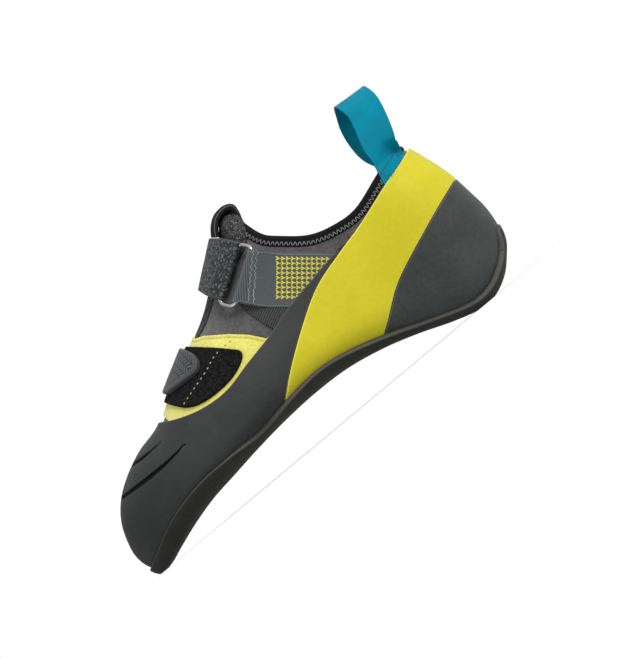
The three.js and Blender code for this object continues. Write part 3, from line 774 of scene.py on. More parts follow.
def tongue():
    """The knit tongue under the throat, and its puffed top under the hood."""
    gusset = 7 * mm
    front_part = inside([
        [heel_rest - 0.400 * shoe_length, -high], [heel_rest - 0.400 * shoe_length, high],
        [front_x, high], [front_x, -high]])
    field = both(throat_field(gusset), front_part)
    throat = throat_field(0)

    def lift(place):
        return 2.6 * mm * eased((throat(place) + 1.5 * mm) / (4 * mm))

    def outer(distance):
        return -2.0 * mm - 1.0 * mm * (1 - np.sqrt(np.clip(distance / (1 * mm), 0, 1)))

    def inner(distance):
        return -2.0 * mm - 1.0 * mm - 1.0 * mm * np.sqrt(np.clip(distance / (1 * mm), 0, 1))

    return drape("tongue_knit_sheet", field, outer, 1 * mm, lining=inner, relief=lift, charted=True)


tongue_top_edge = joined(side_line([
    [0.396, 1.090 * instep], [0.396, 0.940 * instep], [0.409, 0.888 * instep],
    [0.432, 0.850 * instep], [0.464, 0.828 * instep]]), side_line([[0.476, 1.100 * instep]]))


def tongue_top():
    """The knit that swells out beside the hood, over the binding's end."""
    field = both(inside(soft_corners(tongue_top_edge, 3 * mm)), inside(
        [[-high, -0.30 * ball_width], [high, -0.30 * ball_width], [high, 0.36 * ball_width],
         [-high, 0.36 * ball_width]], view=(0, 1)))

    def puff(place):
        back = (heel_rest - place[:, 0]) / shoe_length
        return 3.0 * mm * eased((0.456 - back) / 0.034) * eased(field(place) / (5 * mm))

    return drape(
        "tongue_top_knit", field, rounded(0, 1.1 * mm, 0.8 * mm), 0.8 * mm, relief=puff, charted=True)


panel_top = fit_gap + panel_thickness
patch_top = panel_top + fit_gap + patch_thickness
ridge_y = 0.06 * ball_width
over_rand = inside(joined(
    moved(rand_top, 0, -1.2 * mm), [rand_top[-1][0], high], [rear_x, high], [rear_x, rand_top[0][1]]))
panel_rear = side_line([
    [0.622, 0.95 * heel], [0.622, 0.868 * heel], [0.606, 0.852 * heel],
    [0.564, 0.772 * heel], [0.534, 0.699 * heel], [0.505, 0.600 * heel]])


def vamp_panel():
    outline = joined(
        [panel_rear[0][0], high], panel_rear, [panel_rear[-1][0], 0],
        side_line([[0.770, 0], [0.770, high]]))
    shape = inside(outline)
    edge_line = inside(joined(panel_rear, [front_x, 0], [front_x, high]))

    def fold(place):
        near = edge_line(place)
        groove = np.exp(-((near - 2.0 * mm) / (0.35 * mm)) ** 2)
        ridge = np.exp(-((near - 0.9 * mm) / (0.7 * mm)) ** 2)
        return 0.28 * mm * ridge - 0.35 * mm * groove

    return drape(
        "vamp_panel_suede", both(shape, over_rand), rounded(0, panel_top, 0.4 * mm), 0.4 * mm,
        relief=fold, charted=True,
        extra_cuts=[(edge_line, depth * mm) for depth in (1.2, 1.65, 2.0, 2.4)])


patch_edge = smooth(side_line([
    [0.653, 0.90 * heel], [0.646, 0.861 * heel], [0.588, 0.716 * heel],
    [0.568, 0.640 * heel], [0.611, 0.576 * heel], [0.676, 0.564 * heel],
    [0.723, 0.603 * heel], [0.756, 0.72 * heel]]), 60)


def loop_patch():
    outline = joined(patch_edge, [patch_edge[-1][0], high], [patch_edge[0][0], high])
    field = both(inside(outline), outward_of(ridge_y + 6 * mm))
    return drape(
        "loop_patch_pile", field, rounded(0, patch_top, 0.6 * mm), 0.6 * mm, charted=True)


def soft_corners(points, radius, steps=5):
    """An outline whose corners are rounded off."""
    drawn = []
    count = len(points)
    for k in range(count):
        corner = points[k]
        to_before = points[k - 1] - corner
        to_after = points[(k + 1) % count] - corner
        cut_back = min(radius, 0.45 * np.linalg.norm(to_before), 0.45 * np.linalg.norm(to_after))
        start = corner + to_before / np.linalg.norm(to_before) * cut_back
        end = corner + to_after / np.linalg.norm(to_after) * cut_back
        for step in range(steps + 1):
            part = step / steps
            drawn.append((1 - part) ** 2 * start + 2 * part * (1 - part) * corner + part ** 2 * end)
    return np.array(drawn)


def lower_strap():
    tab = side_line([
        [0.659, high], [0.653, 0.855 * heel], [0.639, 0.789 * heel], [0.641, 0.733 * heel],
        [0.659, 0.698 * heel], [0.729, 0.704 * heel], [0.741, 0.729 * heel], [0.749, high]])
    inner = side_line([[0.662, high], [0.648, 0.62 * heel], [0.735, 0.62 * heel], [0.752, high]])
    outer_part = both(inside(soft_corners(tab, 4 * mm)), outward_of(ridge_y + 10 * mm))
    inner_part = both(inside(inner), inward_of(ridge_y - 2 * mm))
    field = outside(both(outside(outer_part), outside(inner_part)))
    low = patch_top

    def sinking(place):
        down = np.clip((place[:, 1] - ridge_y) / (20 * mm), 0, 1)
        return -(patch_top - 0.4 * mm) * down ** 2 * (3 - 2 * down)

    return drape(
        "lower_strap_tab", field, rounded(low - 0.4 * mm, low + strap_thickness, 0.9 * mm), 0.9 * mm,
        relief=sinking, charted=True)


def side_elastic():
    outline = side_line([
        [0.512, 0.665 * instep], [0.495, 0.715 * instep], [0.400, 0.640 * instep],
        [0.400, 0.480 * instep], [0.489, 0.500 * instep]])
    field = both(inside(outline), over_rand, outward_of(0))
    return drape("side_elastic_tape", field, rounded(0, 1.0 * mm, 0.3 * mm), 0.3 * mm, charted=True)


# The closing strap: through the ring, round its front wire and back over the instep
def upper_strap():
    columns_across = 27
    rows_along = 40
    run = 58 * mm
    cover_width = 1.14 * strap_width
    arcs = np.linspace(0, run, rows_along)
    slants = strap_shift + np.linspace(-0.5, 0.5, columns_across) * cover_width
    points = np.stack([hoop(slant, bar, arcs) for slant in slants], axis=1)
    taper = 0.12 * np.clip(arcs / (20 * mm), 0, 1)[:, None, None]
    points += (points.mean(axis=1, keepdims=True) - points) * taper
    towards = points - np.array([0, ridge_y, 60 * mm])
    towards[..., 0] = 0
    normal = outward_normals(points, towards)
    return points, normal, arcs, slants


def eased(share):
    share = np.clip(share, 0, 1)
    return share ** 2 * (3 - 2 * share)


def wire_line(slants, across):
    """Points along one of the ring's long wires, with the ways across and out of the ring."""
    place, along, aside, out = ring_frame()
    middle = place + out * ring_lift + aside * across
    return middle + np.asarray(slants)[:, None] * along, aside, out


def broad(rows, columns):
    """A chart for a grid: lengths along its rows and places across them."""
    return np.stack(np.broadcast_arrays(rows[:, None], columns[None, :]), axis=2)


def strap_pieces():
    points, normal, arcs, slants = upper_strap()
    tail_length = 8 * mm
    fold_size = 1.75 * mm
    settling = 0.6 * mm * np.clip(arcs / (10 * mm), 0, 1)
    sinking = 3.2 * mm * eased((arcs - 40 * mm) / (14 * mm))
    lift = ring_lift + fold_size - settling - sinking
    wire, aside, out = wire_line(slants, bar)
    flat_run = wire[None] + aside * arcs[:, None, None] + out * fold_size
    skin_run = points + normal * lift[:, None, None]
    share = eased(arcs / (13 * mm))[:, None, None]
    cover_points = flat_run + (skin_run - flat_run) * share
    bends = np.radians(np.linspace(-90, 80, 12))
    folded = np.stack([
        wire - aside * math.cos(bend) * fold_size + out * math.sin(bend) * fold_size for bend in bends])
    tail = (wire + aside * tail_length - out * fold_size)[None]
    grid = np.concatenate([tail, folded, cover_points])
    gone = gone_along(grid[:, len(slants) // 2]) - tail_length - math.pi * fold_size
    cover_piece = thicken(sheet_of("upper_strap_tab", grid, broad(gone, slants)), 1.9 * mm, 0.8 * mm)
    under = cover_points[2:] - normal[2:] * 2.2 * mm
    middle = under.mean(axis=1, keepdims=True)
    under = middle + (under - middle) * 0.93
    hook_piece = thicken(
        sheet_of("upper_strap_hooks", under, broad(arcs[2:], slants)), 2.4 * mm, 0.4 * mm)
    tape_middle = points.mean(axis=1, keepdims=True)
    tape_points = (tape_middle + (points - tape_middle) * 1.09 + normal * 1.0 * mm)[6:]
    tape_piece = thicken(
        sheet_of("upper_strap_tape", tape_points, broad(arcs[6:], slants)), 0.9 * mm, 0.2 * mm)
    return cover_piece, hook_piece, tape_piece


def strap_anchor():
    """The strap's end on the inner side, sewn down to the upper."""
    outline = side_line([
        [0.514, 1.095 * instep], [0.438, 0.902 * instep], [0.424, 0.760 * instep],
        [0.508, 0.655 * instep], [0.516, 0.759 * instep], [0.598, 0.933 * instep]])
    field = both(inside(soft_corners(outline, 3 * mm)), inward_of(0.03 * ball_width + 6 * mm))
    return drape("strap_anchor_tape", field, rounded(0, 1.5 * mm, 0.4 * mm), 0.4 * mm, charted=True)


# Webbing from the rand up to the ring and round its rear wire
webbing_way = np.array([0.768, -0.641])
webbing_up = np.array([0.641, 0.768])


def webbing_grid():
    slope = 0.252
    across = np.linspace(-0.5, 0.5, 30) * webbing_width * 0.97 + 0.6 * mm
    root = ring_point(0, -bar)
    below = inside(joined(moved(rand_top, 0, -1.2 * mm), [front_x, -high], [rear_x, -high]))
    shares = np.linspace(0, 1, 56)
    starts = slope * across
    lengths = []
    for c, a in zip(across, starts):
        probe = a + np.linspace(4 * mm, 90 * mm, 400)
        spots = root + probe[:, None] * webbing_way + c * webbing_up
        hit = below(np.stack([spots[:, 0], 0 * probe, spots[:, 1]], axis=1)) > 0
        lengths.append(probe[np.argmax(hit)] - a)
    lengths = np.array(lengths)
    away = shares[:, None] * lengths[None, :]
    a_here = away + starts[None, :]
    spots = root + a_here[..., None] * webbing_way + across[None, :, None] * webbing_up
    flat_spots = spots.reshape(-1, 2)
    place, out = skin_frame(flat_spots[:, 0], flat_spots[:, 1])
    place = place.reshape(*spots.shape[:2], 3)
    out = out.reshape(*spots.shape[:2], 3)
    fold_size = ring_wire / 2 + 0.1 * mm + webbing_thickness / 2
    wire, aside, ring_out = wire_line(across, -bar)
    run = place - place[:1]
    flat_run = wire[None] + run - np.sum(run * ring_out, axis=2)[..., None] * ring_out + ring_out * fold_size
    resting = place + out * (1.5 - 0.6 * eased((away - 10 * mm) / (3 * mm)))[..., None] * mm
    share = eased(away / (11 * mm))[..., None]
    upper_points = flat_run + (resting - flat_run) * share
    bends = np.radians(np.linspace(-90, 80, 12))
    folded = np.stack([
        wire + aside * math.cos(bend) * fold_size + ring_out * math.sin(bend) * fold_size for bend in bends])
    under_run = wire[None] + run - ring_out * fold_size
    under_rest = place + out * 0.5 * mm
    under = under_run + (under_rest - under_run) * eased(away / (9 * mm))[..., None]
    lead = int(np.argmax(away[:, 0] > 10 * mm))
    grid = np.concatenate([under[1:lead][::-1], folded, upper_points])
    first = lead - 1 + len(folded)
    steps = np.linalg.norm(np.diff(grid[:first + 1, len(across) // 2], axis=0), axis=1)
    before = -np.cumsum(steps[::-1])[::-1]
    chart_a = np.concatenate([before[:, None] + starts, a_here])
    return grid, np.stack([chart_a, np.broadcast_to(across[None, :], chart_a.shape)], axis=2)


def label_webbing():
    return thicken(sheet_of("label_webbing_tape", *webbing_grid()), webbing_thickness, 0.35 * mm)


def d_ring():
    place, along, across, out = ring_frame()
    wire = bmesh.new()
    half = (ring_length - ring_wire) / 2
    side = (ring_width - ring_wire) / 2
    bend = 0.75 * side
    bmesh.ops.create_circle(
        wire, segments=14, radius=ring_wire / 2,
        matrix=Matrix.Translation((half, -(side - bend), 0)) @ Matrix.Rotation(math.pi / 2, 4, "X"))
    rim = wire.edges[:]
    for quarter in range(4):
        angle = quarter * math.pi / 2
        run = 2 * (side - bend) if quarter % 2 == 0 else 2 * (half - bend)
        way = Vector((-math.sin(angle), math.cos(angle), 0))
        pulled = bmesh.ops.extrude_edge_only(wire, edges=rim)["geom"]
        bmesh.ops.translate(
            wire, vec=way * run, verts=[item for item in pulled if isinstance(item, bmesh.types.BMVert)])
        rim = [item for item in pulled if isinstance(item, bmesh.types.BMEdge)
               and all(vert in pulled for vert in item.verts)]
        corner_x = (half - bend) * (1 if quarter in (0, 3) else -1)
        corner_y = (side - bend) * (1 if quarter < 2 else -1)
        spun = bmesh.ops.spin(
            wire, geom=rim, cent=(corner_x, corner_y, 0), axis=(0, 0, 1), angle=math.pi / 2, steps=8)
        rim = [item for item in spun["geom_last"] if isinstance(item, bmesh.types.BMEdge)]
    bmesh.ops.remove_doubles(wire, verts=wire.verts, dist=0.01 * mm)
    bmesh.ops.recalc_face_normals(wire, faces=wire.faces)
    middle = place + out * ring_lift
    turn = Matrix([[along[k], across[k], out[k], middle[k]] for k in range(3)] + [[0, 0, 0, 1]])
    bmesh.ops.transform(wire, matrix=turn, verts=wire.verts)
    return mesh_of("d_ring_wire", wire, sharp=60)


# Heel pull loop and tongue tab: ribbons along rows of middle points
def pull_loop():
    """The ribbon loop. Near the collar its legs lie on the skin, above it they are free."""
    loop_half = 60
    across_loop = 17

    def level(lean):
        angle = math.radians(lean)
        return [math.cos(angle), 0, math.sin(angle)]

    def row(share, y, up, lean, laid, lift=1.45 * mm):
        return [heel_rest - share * shoe_length, y, up, *level(lean), 0, laid, lift]

    def mirrored(given):
        return [given[0], -given[1], *given[2:]]

    root = row(0.102, -0.42 * seat, 0.830 * heel, 20, 1, 0.2 * mm)
    foot = row(0.098, -0.42 * seat, 0.880 * heel, 20, 1, 1.2 * mm)
    edge = row(0.091, -0.42 * seat, 0.975 * heel, 18, 1)
    rise = row(0.083, -0.375 * seat, 1.060 * heel, 13, 0.15)
    far_rise = row(0.097, 0.375 * seat, 1.075 * heel, 13, 0.15)
    rows = smooth(np.array([
        root, foot, edge, rise,
        row(0.070, -0.330 * seat, 1.170 * heel, 5, 0),
        row(0.062, -0.230 * seat, 1.275 * heel, -2, 0),
        row(0.070, 0, 1.355 * heel, -4, 0),
        row(0.082, 0.230 * seat, 1.295 * heel, 0, 0),
        row(0.094, 0.330 * seat, 1.195 * heel, 5, 0),
        far_rise, mirrored(edge), mirrored(foot), mirrored(root)]), 2 * loop_half)
    points, chart = ribbon_grid(rows, ribbon_width * (1 - 0.17 * np.clip(rows[:, 7], 0, 1)), across_loop)
    for part, side in ((slice(0, loop_half + 1), -1), (slice(loop_half + 1, None), 1)):
        flat = points[part].reshape(-1, 3)
        place, out = skin_frame(flat[:, 0], np.minimum(flat[:, 2], 0.96 * heel), side)
        rested = place + out * np.repeat(rows[part, 8], across_loop)[:, None]
        rested[:, 1] = side * np.maximum(side * rested[:, 1], 0.64 * side * flat[:, 1])
        rested[:, 2] = np.where(flat[:, 2] > 0.96 * heel, flat[:, 2], rested[:, 2])
        laid = np.clip(np.repeat(rows[part, 7], across_loop)[:, None], 0, 1)
        points[part] = (flat + (rested - flat) * laid).reshape(points[part].shape)
    piece = thicken(sheet_of("pull_loop_ribbon", points, chart), ribbon_thickness, 0.3 * mm)
    piece.modifiers["wall"].use_even_offset = False
    return piece


def ribbon_grid(rows, width, count):
    middles = rows[:, :3]
    along = unit(np.gradient(middles, axis=0))
    across = unit(rows[:, 3:6] - along * np.sum(rows[:, 3:6] * along, axis=1)[:, None])
    out = np.cross(across, along)
    sides = np.linspace(-1, 1, count)
    places_across = np.broadcast_to(width, len(rows))[:, None] / 2 * sides
    points = (middles[:, None] + across[:, None] * places_across[..., None]
              - out[:, None] * (rows[:, 6][:, None] * sides ** 2)[..., None])
    gone = gone_along(middles)
    return points, np.stack([np.broadcast_to(gone[:, None], places_across.shape), places_across], axis=2)


def ribbon(name, rows, width, thickness, rim, count):
    return thicken(sheet_of(name, *ribbon_grid(rows, width, count)), thickness, rim)


tab_outline = side_line([
    [0.4020, 0.905 * instep], [0.3990, 0.958 * instep], [0.3930, 1.005 * instep],
    [0.3935, 1.040 * instep], [0.4100, 1.058 * instep], [0.4340, 1.051 * instep],
    [0.4520, 1.023 * instep], [0.4650, 0.986 * instep]])
tab_y = 0.035 * ball_width


def tongue_tab():
    rows = smooth(np.array([
        [x, tab_y, z, 0, 1, 0, 0.4 * k * mm] for k, (x, z) in enumerate(tab_outline)]), 48)
    return ribbon("tongue_tab_tape", rows, tab_width, tab_thickness, 0.7 * mm, 21)


def tongue_tab_shade_sheet():
    """A dark sheet inside the hood: painted shade where the hood's inside is seen."""
    line = beside(smooth(tab_outline, 40), 1.9 * mm)[12:31]
    rows = np.array([[x, tab_y, z, 0, 1, 0, 0] for x, z in line])
    points, chart = ribbon_grid(rows, 0.8 * tab_width, 9)
    piece = thicken(sheet_of("tongue_tab_shade_sheet", points, chart), 2.2 * mm, 0)
    piece.modifiers["wall"].use_even_offset = False
    return piece


# Shader maths: a wrapped socket whose operators add Math nodes
class Value:
    def __init__(self, paint, socket):
        self.paint = paint
        self.socket = socket

    def math(self, operation, *others):
        return self.paint.value("ShaderNodeMath", {"operation": operation}, [self, *others])

    def __add__(self, other):
        return self.math("ADD", other)

    def __radd__(self, other):
        return self.math("ADD", other)

    def __sub__(self, other):
        return self.math("SUBTRACT", other)

    def __rsub__(self, other):
        return self.paint.value("ShaderNodeMath", {"operation": "SUBTRACT"}, [other, self])

    def __mul__(self, other):
        return self.math("MULTIPLY", other)

    def __rmul__(self, other):
        return self.math("MULTIPLY", other)

    def __truediv__(self, other):
        return self.math("DIVIDE", other)

    def sine(self):
        return self.math("SINE")

    def size(self):
        return self.math("ABSOLUTE")

    def part(self):
        return self.math("FRACT")

    def whole(self):
        return self.math("FLOOR")

    def below(self, limit):
        return self.math("LESS_THAN", limit)

    def over(self, limit):
        return self.math("GREATER_THAN", limit)

    def most(self, other):
        return self.math("MAXIMUM", other)

    def ramp(self, low, high_end, start=0.0, end=1.0):
        """From start to end, smoothly, as the value goes from low to high_end."""
        return self.paint.value(
            "ShaderNodeMapRange", {"interpolation_type": "SMOOTHSTEP"},
            {"Value": self, "From Min": low, "From Max": high_end, "To Min": start, "To Max": end})


class Paint:
    """One material and the nodes that make it."""
    def __init__(self, name, roughness=0.6, **fixed):
        self.material = bpy.data.materials.new(name)
        self.material.use_nodes = True
        self.tree = self.material.node_tree
        self.shader = self.tree.nodes["Principled BSDF"]
        self.shader.inputs["Roughness"].default_value = roughness
        for socket, amount in fixed.items():
            self.shader.inputs[socket.replace("_", " ")].default_value = amount

    def node(self, kind, settings=None, inputs=None):
        made = self.tree.nodes.new(kind)
        for setting, amount in (settings or {}).items():
            if setting == "stops":
                for k, (place, colour) in enumerate(amount):
                    stop = made.color_ramp.elements[k] if k < 2 else made.color_ramp.elements.new(place)
                    stop.position = place
                    stop.color = colour
            else:
                setattr(made, setting, amount)
        pairs = inputs.items() if isinstance(inputs, dict) else enumerate(inputs or [])
        for socket, amount in pairs:
            if isinstance(amount, Value):
                self.tree.links.new(amount.socket, made.inputs[socket])
            else:
                made.inputs[socket].default_value = amount
        return made

    def value(self, kind, settings=None, inputs=None, output=0):
        return Value(self, self.node(kind, settings, inputs).outputs[output])

    def feed(self, socket, amount):
        self.tree.links.new(amount.socket, self.shader.inputs[socket])

    def object_place(self):
        return self.value("ShaderNodeTexCoord", output="Object")

    def chart(self):
        """The piece's own chart: millimetres along and across it."""
        found = self.node("ShaderNodeUVMap", {"uv_map": "chart"})
        parts = self.node("ShaderNodeSeparateXYZ", None, [Value(self, found.outputs[0])])
        return Value(self, parts.outputs[0]), Value(self, parts.outputs[1])

    def spot(self, x, y, z=0.0):
        return self.value("ShaderNodeCombineXYZ", None, [x, y, z])

    def attribute(self, name):
        return self.value("ShaderNodeAttribute", {"attribute_name": name}, output="Fac")

    def noise(self, place, scale, detail=4.0, rough=0.6):
        return self.value(
            "ShaderNodeTexNoise", None,
            {"Vector": place, "Scale": scale, "Detail": detail, "Roughness": rough})

    def cells(self, place, scale, feature="F1", output=0, stir=1.0):
        return self.value(
            "ShaderNodeTexVoronoi", {"feature": feature},
            {"Vector": place, "Scale": scale, "Randomness": stir}, output)

    def blend(self, share, first, second):
        return self.value(
            "ShaderNodeMix", {"data_type": "RGBA"},
            {"Factor": share, 6: first, 7: second}, 2)

    def bump(self, height, distance, strength=1.0, under=None):
        inputs = {"Height": height, "Distance": distance, "Strength": strength}
        if under:
            inputs["Normal"] = under
        return self.value("ShaderNodeBump", None, inputs)


def tone(red, green, blue, lift=1.0):
    """A colour as seen on a screen, from 0 to 255, made linear."""
    linear = []
    for part in (red, green, blue):
        share = part / 255
        linear.append(lift * (share / 12.92 if share <= 0.04045 else ((share + 0.055) / 1.055) ** 2.4))
    return (*linear, 1.0)


def rubber_finish(name, dark, pale, edge, roughness, gloss=0.0, grain=0.05):
    """Matte rubber: broad patches, fine dust, paler cut edges that are partly a painted highlight along the
    rim, and painted shade in the slits.
    """
    paint = Paint(name, roughness, Specular_IOR_Level=0.3)
    place = paint.object_place()
    broad = paint.noise(place, 22, 3).ramp(0.35, 0.68)
    fine = paint.noise(place, 420, 5, 0.7).ramp(0.3, 0.75)
    dust = paint.noise(place, 1500, 2).ramp(0.58, 0.8)
    colour = paint.blend(broad * 0.6 + fine * 0.4, dark, pale)
    colour = paint.blend(dust * 0.16, colour, edge)
    # Paler towards the rim: partly the cut edge's own paler colour, partly a painted highlight along the
    # rim.
    rim = paint.attribute("rim").ramp(0.15, 0.75, 1.0, 0.0)
    colour = paint.blend(rim * 0.75, colour, edge)
    # Painted shade: darker where the surface is sunk, as in the toe's slits.
    depth_for_painted_shade = paint.attribute("depth_for_painted_shade").ramp(0.15, 1.0)
    colour = paint.blend(depth_for_painted_shade * 0.92, colour, tone(12, 12, 13))
    paint.feed("Base Color", colour)
    paint.feed("Roughness", roughness - 0.08 + 0.16 * fine + 0.1 * depth_for_painted_shade - gloss * broad)
    height = fine + 0.6 * broad + dust * 0.5
    paint.feed("Normal", paint.bump(height, grain * mm, 0.9))
    return paint.material


def suede_finish(name, dark, pale, nap=900, depth=0.12):
    """Short nap: mottled colour, a soft fibrous surface and painted shade where the surface is sunk."""
    paint = Paint(name, 0.92, Sheen_Weight=0.35, Sheen_Roughness=0.5, Specular_IOR_Level=0.2)
    place = paint.object_place()
    patches = paint.noise(place, 60, 4).ramp(0.3, 0.7)
    fibres = paint.noise(place, nap, 6, 0.75).ramp(0.28, 0.74)
    colour = paint.blend(patches * 0.35 + fibres * 0.65, dark, pale)
    # Painted shade in sunk places, such as the panel's fold.
    depth_for_painted_shade = paint.attribute("depth_for_painted_shade").ramp(0.05, 0.4)
    colour = paint.blend(depth_for_painted_shade * 0.5, colour, dark)
    paint.feed("Base Color", colour)
    paint.feed("Normal", paint.bump(fibres + 0.5 * patches, depth * mm, 0.9))
    return paint.material


def knit_finish(name, dark, pale, pitch=1.3):
    """Knobbly elastic knit: rows of small raised stitches."""
    paint = Paint(name, 0.85, Specular_IOR_Level=0.12)
    along, across = paint.chart()
    shift = (across / pitch).whole() * 0.5
    spot = paint.spot(along / pitch + shift, across / pitch)
    knob = paint.cells(spot, 1.0, "SMOOTH_F1", stir=0.35).ramp(0.1, 0.6, 1.0, 0.0)
    fuzz = paint.noise(paint.object_place(), 1600, 3)
    paint.feed("Base Color", paint.blend(knob * knob * 0.8 + fuzz * 0.2, dark, pale))
    paint.feed("Normal", paint.bump(knob + 0.25 * fuzz, 0.35 * mm, 0.9))
    return paint.material


def pebble_finish(name, start, end):
    """Moulded strap cover: raised pebbles in an even field inside a plain margin, with painted highlight on
    the pebbles and painted shade in the gaps between them.
    """
    paint = Paint(name, 0.5, Specular_IOR_Level=0.45)
    along, across = paint.chart()
    pitch = 1.95
    spot = paint.spot(along / pitch, across / (pitch * 1.15) + (along / pitch).whole() * 0.5)
    edge = paint.cells(spot, 1.0, "DISTANCE_TO_EDGE", stir=0.62)
    pebble = edge.ramp(0.05, 0.17)
    field = along.ramp(start - 0.6, start + 0.6) * along.ramp(end - 0.8, end + 0.8, 1.0, 0.0)
    field = field * (across - strap_shift / mm).size().ramp(13.9, 14.7, 1.0, 0.0)
    raised = pebble * field
    fine = paint.noise(paint.object_place(), 700, 4)
    facet = paint.cells(spot, 1.0, "F1", output="Color", stir=0.62)
    # Painted highlight and shade: pale pebbles against near-black gaps, on one rubber.
    shade = raised * (0.35 + 0.65 * facet) + (1 - field) * 0.4 + 0.15 * fine
    paint.feed("Base Color", paint.blend(shade, tone(8, 9, 10), tone(90, 94, 96)))
    paint.feed("Roughness", 0.62 - 0.16 * raised)
    paint.feed("Normal", paint.bump(raised + (1 - field) * 0.55 + 0.06 * fine, 0.55 * mm, 1.0))
    return paint.material


def herringbone_finish(name):
    """Moulded strap end: short bars that slant left and right in turn, with painted highlight on the bars
    and painted shade in the gaps.
    """
    paint = Paint(name, 0.5, Specular_IOR_Level=0.45)
    along, across = paint.chart()
    column = along / 2.9
    left = (column.whole() / 2).part().over(0.25)
    lean = (column.part() - 0.5) * (left * 2 - 1) * 1.3
    bar_place = (across / 3.1 + lean).part()
    bars = (bar_place - 0.5).size().ramp(0.16, 0.28, 1.0, 0.0)
    gap = (column.part() - 0.5).size().ramp(0.36, 0.47, 1.0, 0.0)
    rim = paint.attribute("rim").ramp(1.2, 1.9)
    raised = bars * gap * rim
    fine = paint.noise(paint.object_place(), 700, 4)
    # Painted highlight and shade: pale bars against near-black gaps, on one rubber.
    shade = raised * 0.7 + (1 - rim) * 0.35 + 0.2 * fine
    paint.feed("Base Color", paint.blend(shade, tone(10, 11, 12), tone(94, 98, 100)))
    paint.feed("Normal", paint.bump(raised + (1 - rim) * 0.7 + 0.08 * fine, 0.5 * mm, 1.0))
    return paint.material


def pile_finish(name):
    """Loop pile: dense dark curls."""
    paint = Paint(name, 0.95, Specular_IOR_Level=0.08)
    place = paint.object_place()
    curls = paint.noise(place, 1150, 5, 0.75).ramp(0.32, 0.7)
    tufts = paint.cells(place, 620, "F1").ramp(0.1, 0.75, 1.0, 0.0)
    specks = paint.cells(place, 480, "F1").ramp(0.05, 0.2, 1.0, 0.0) * curls.over(0.5)
    colour = paint.blend(curls * 0.6 + tufts * 0.4, tone(9, 9, 9), tone(54, 54, 54))
    paint.feed("Base Color", paint.blend(specks * 0.5, colour, tone(120, 120, 120)))
    paint.feed("Normal", paint.bump(curls + 0.7 * tufts, 0.55 * mm, 1.0))
    return paint.material


def webbing_finish(name):
    """Grey woven webbing: fine ribs up to a stitch line, then rows of small yellow arrowheads."""
    paint = Paint(name, 0.75, Sheen_Weight=0.2, Specular_IOR_Level=0.35)
    along, across = paint.chart()
    picks = (along * 2 * math.pi / 0.62).sine()
    ends = (across * 2 * math.pi / 0.55).sine()
    weave = picks * ends
    ribbed = (along - across * 0.12).ramp(3.0, 3.6, 1.0, 0.0)
    ribs = (along * 2 * math.pi / 0.95).sine() * ribbed
    grain = paint.noise(paint.object_place(), 1300, 3)
    ground = paint.blend(
        0.5 + 0.3 * weave + 0.35 * ribs + 0.4 * (grain - 0.5), tone(46, 51, 54), tone(98, 106, 108))
    row = across / 2.42
    column = along / 2.5
    x = column.part() - 0.5
    y = (row.part() - 0.5).size()
    head = (x + y * 1.15 + 0.05).size().ramp(0.19, 0.28, 1.0, 0.0) * y.below(0.42)
    stalk = y.below(0.10) * x.over(-0.1) * x.below(0.45)
    mark = head.most(stalk)
    field = along.over(12.4) * (across - 1.2).size().below(10.9)
    mark = mark * field
    blue = along.over(11.9) * (across - 1.2).size().below(11.2)
    ground = paint.blend(blue * 0.3, ground, tone(52, 54, 92))
    colour = paint.blend(mark * 0.95, ground, tone(222, 212, 45))
    selvedge = (across.size() - 13.1).size().below(0.3)
    colour = paint.blend(selvedge * 0.35, colour, tone(140, 150, 152))
    paint.feed("Base Color", colour)
    height = 0.3 * weave + 0.9 * ribs + 0.25 * grain + 0.6 * mark + 0.5 * selvedge
    paint.feed("Normal", paint.bump(height, 0.22 * mm, 0.9))
    return paint.material


def twill_finish(name, dark, pale, half):
    """Satin ribbon: fine slanting twill with a firmer woven edge."""
    paint = Paint(name, 0.55, Specular_IOR_Level=0.08)
    along, across = paint.chart()
    twill = ((along + across * 0.6) * 2 * math.pi / 0.5).sine()
    picks = (along * 2 * math.pi / 0.42).sine()
    edge = (across.size() - (half - 0.9)).ramp(0.0, 0.25)
    broad = paint.noise(paint.object_place(), 90, 3)
    shade = 0.45 + 0.16 * twill + 0.4 * (broad - 0.5) + 0.25 * edge
    paint.feed("Base Color", paint.blend(shade, dark, pale))
    paint.feed("Roughness", 0.5 + 0.12 * twill)
    height = twill * (1 - edge) * 0.5 + picks * edge + 0.9 * edge
    paint.feed("Normal", paint.bump(height, 0.12 * mm, 0.9))
    return paint.material


def ribbed_finish(name, dark, pale, pitch, slope, depth=0.3):
    """Ribs that run one way across the piece."""
    paint = Paint(name, 0.75, Specular_IOR_Level=0.12)
    along, across = paint.chart()
    ribs = ((along + across * slope) * 2 * math.pi / pitch).sine()
    fine = paint.noise(paint.object_place(), 1200, 3)
    paint.feed("Base Color", paint.blend(0.45 + 0.4 * ribs + 0.3 * (fine - 0.5), dark, pale))
    paint.feed("Normal", paint.bump(ribs + 0.3 * fine, depth * mm, 0.9))
    return paint.material


def hood_finish(name):
    """Black tape with a thin pale line along both edges."""
    paint = Paint(name, 0.75, Specular_IOR_Level=0.12)
    along, across = paint.chart()
    line = (across.size() - 11.0).size().ramp(0.25, 0.5, 1.0, 0.0)
    weave = (along * 2 * math.pi / 0.6).sine() * (across * 2 * math.pi / 0.6).sine()
    ground = paint.blend(0.5 + 0.4 * weave, tone(17, 17, 18), tone(40, 40, 41))
    paint.feed("Base Color", paint.blend(line * 0.8, ground, tone(150, 150, 148)))
    paint.feed("Normal", paint.bump(0.4 * weave + line, 0.25 * mm, 0.9))
    return paint.material


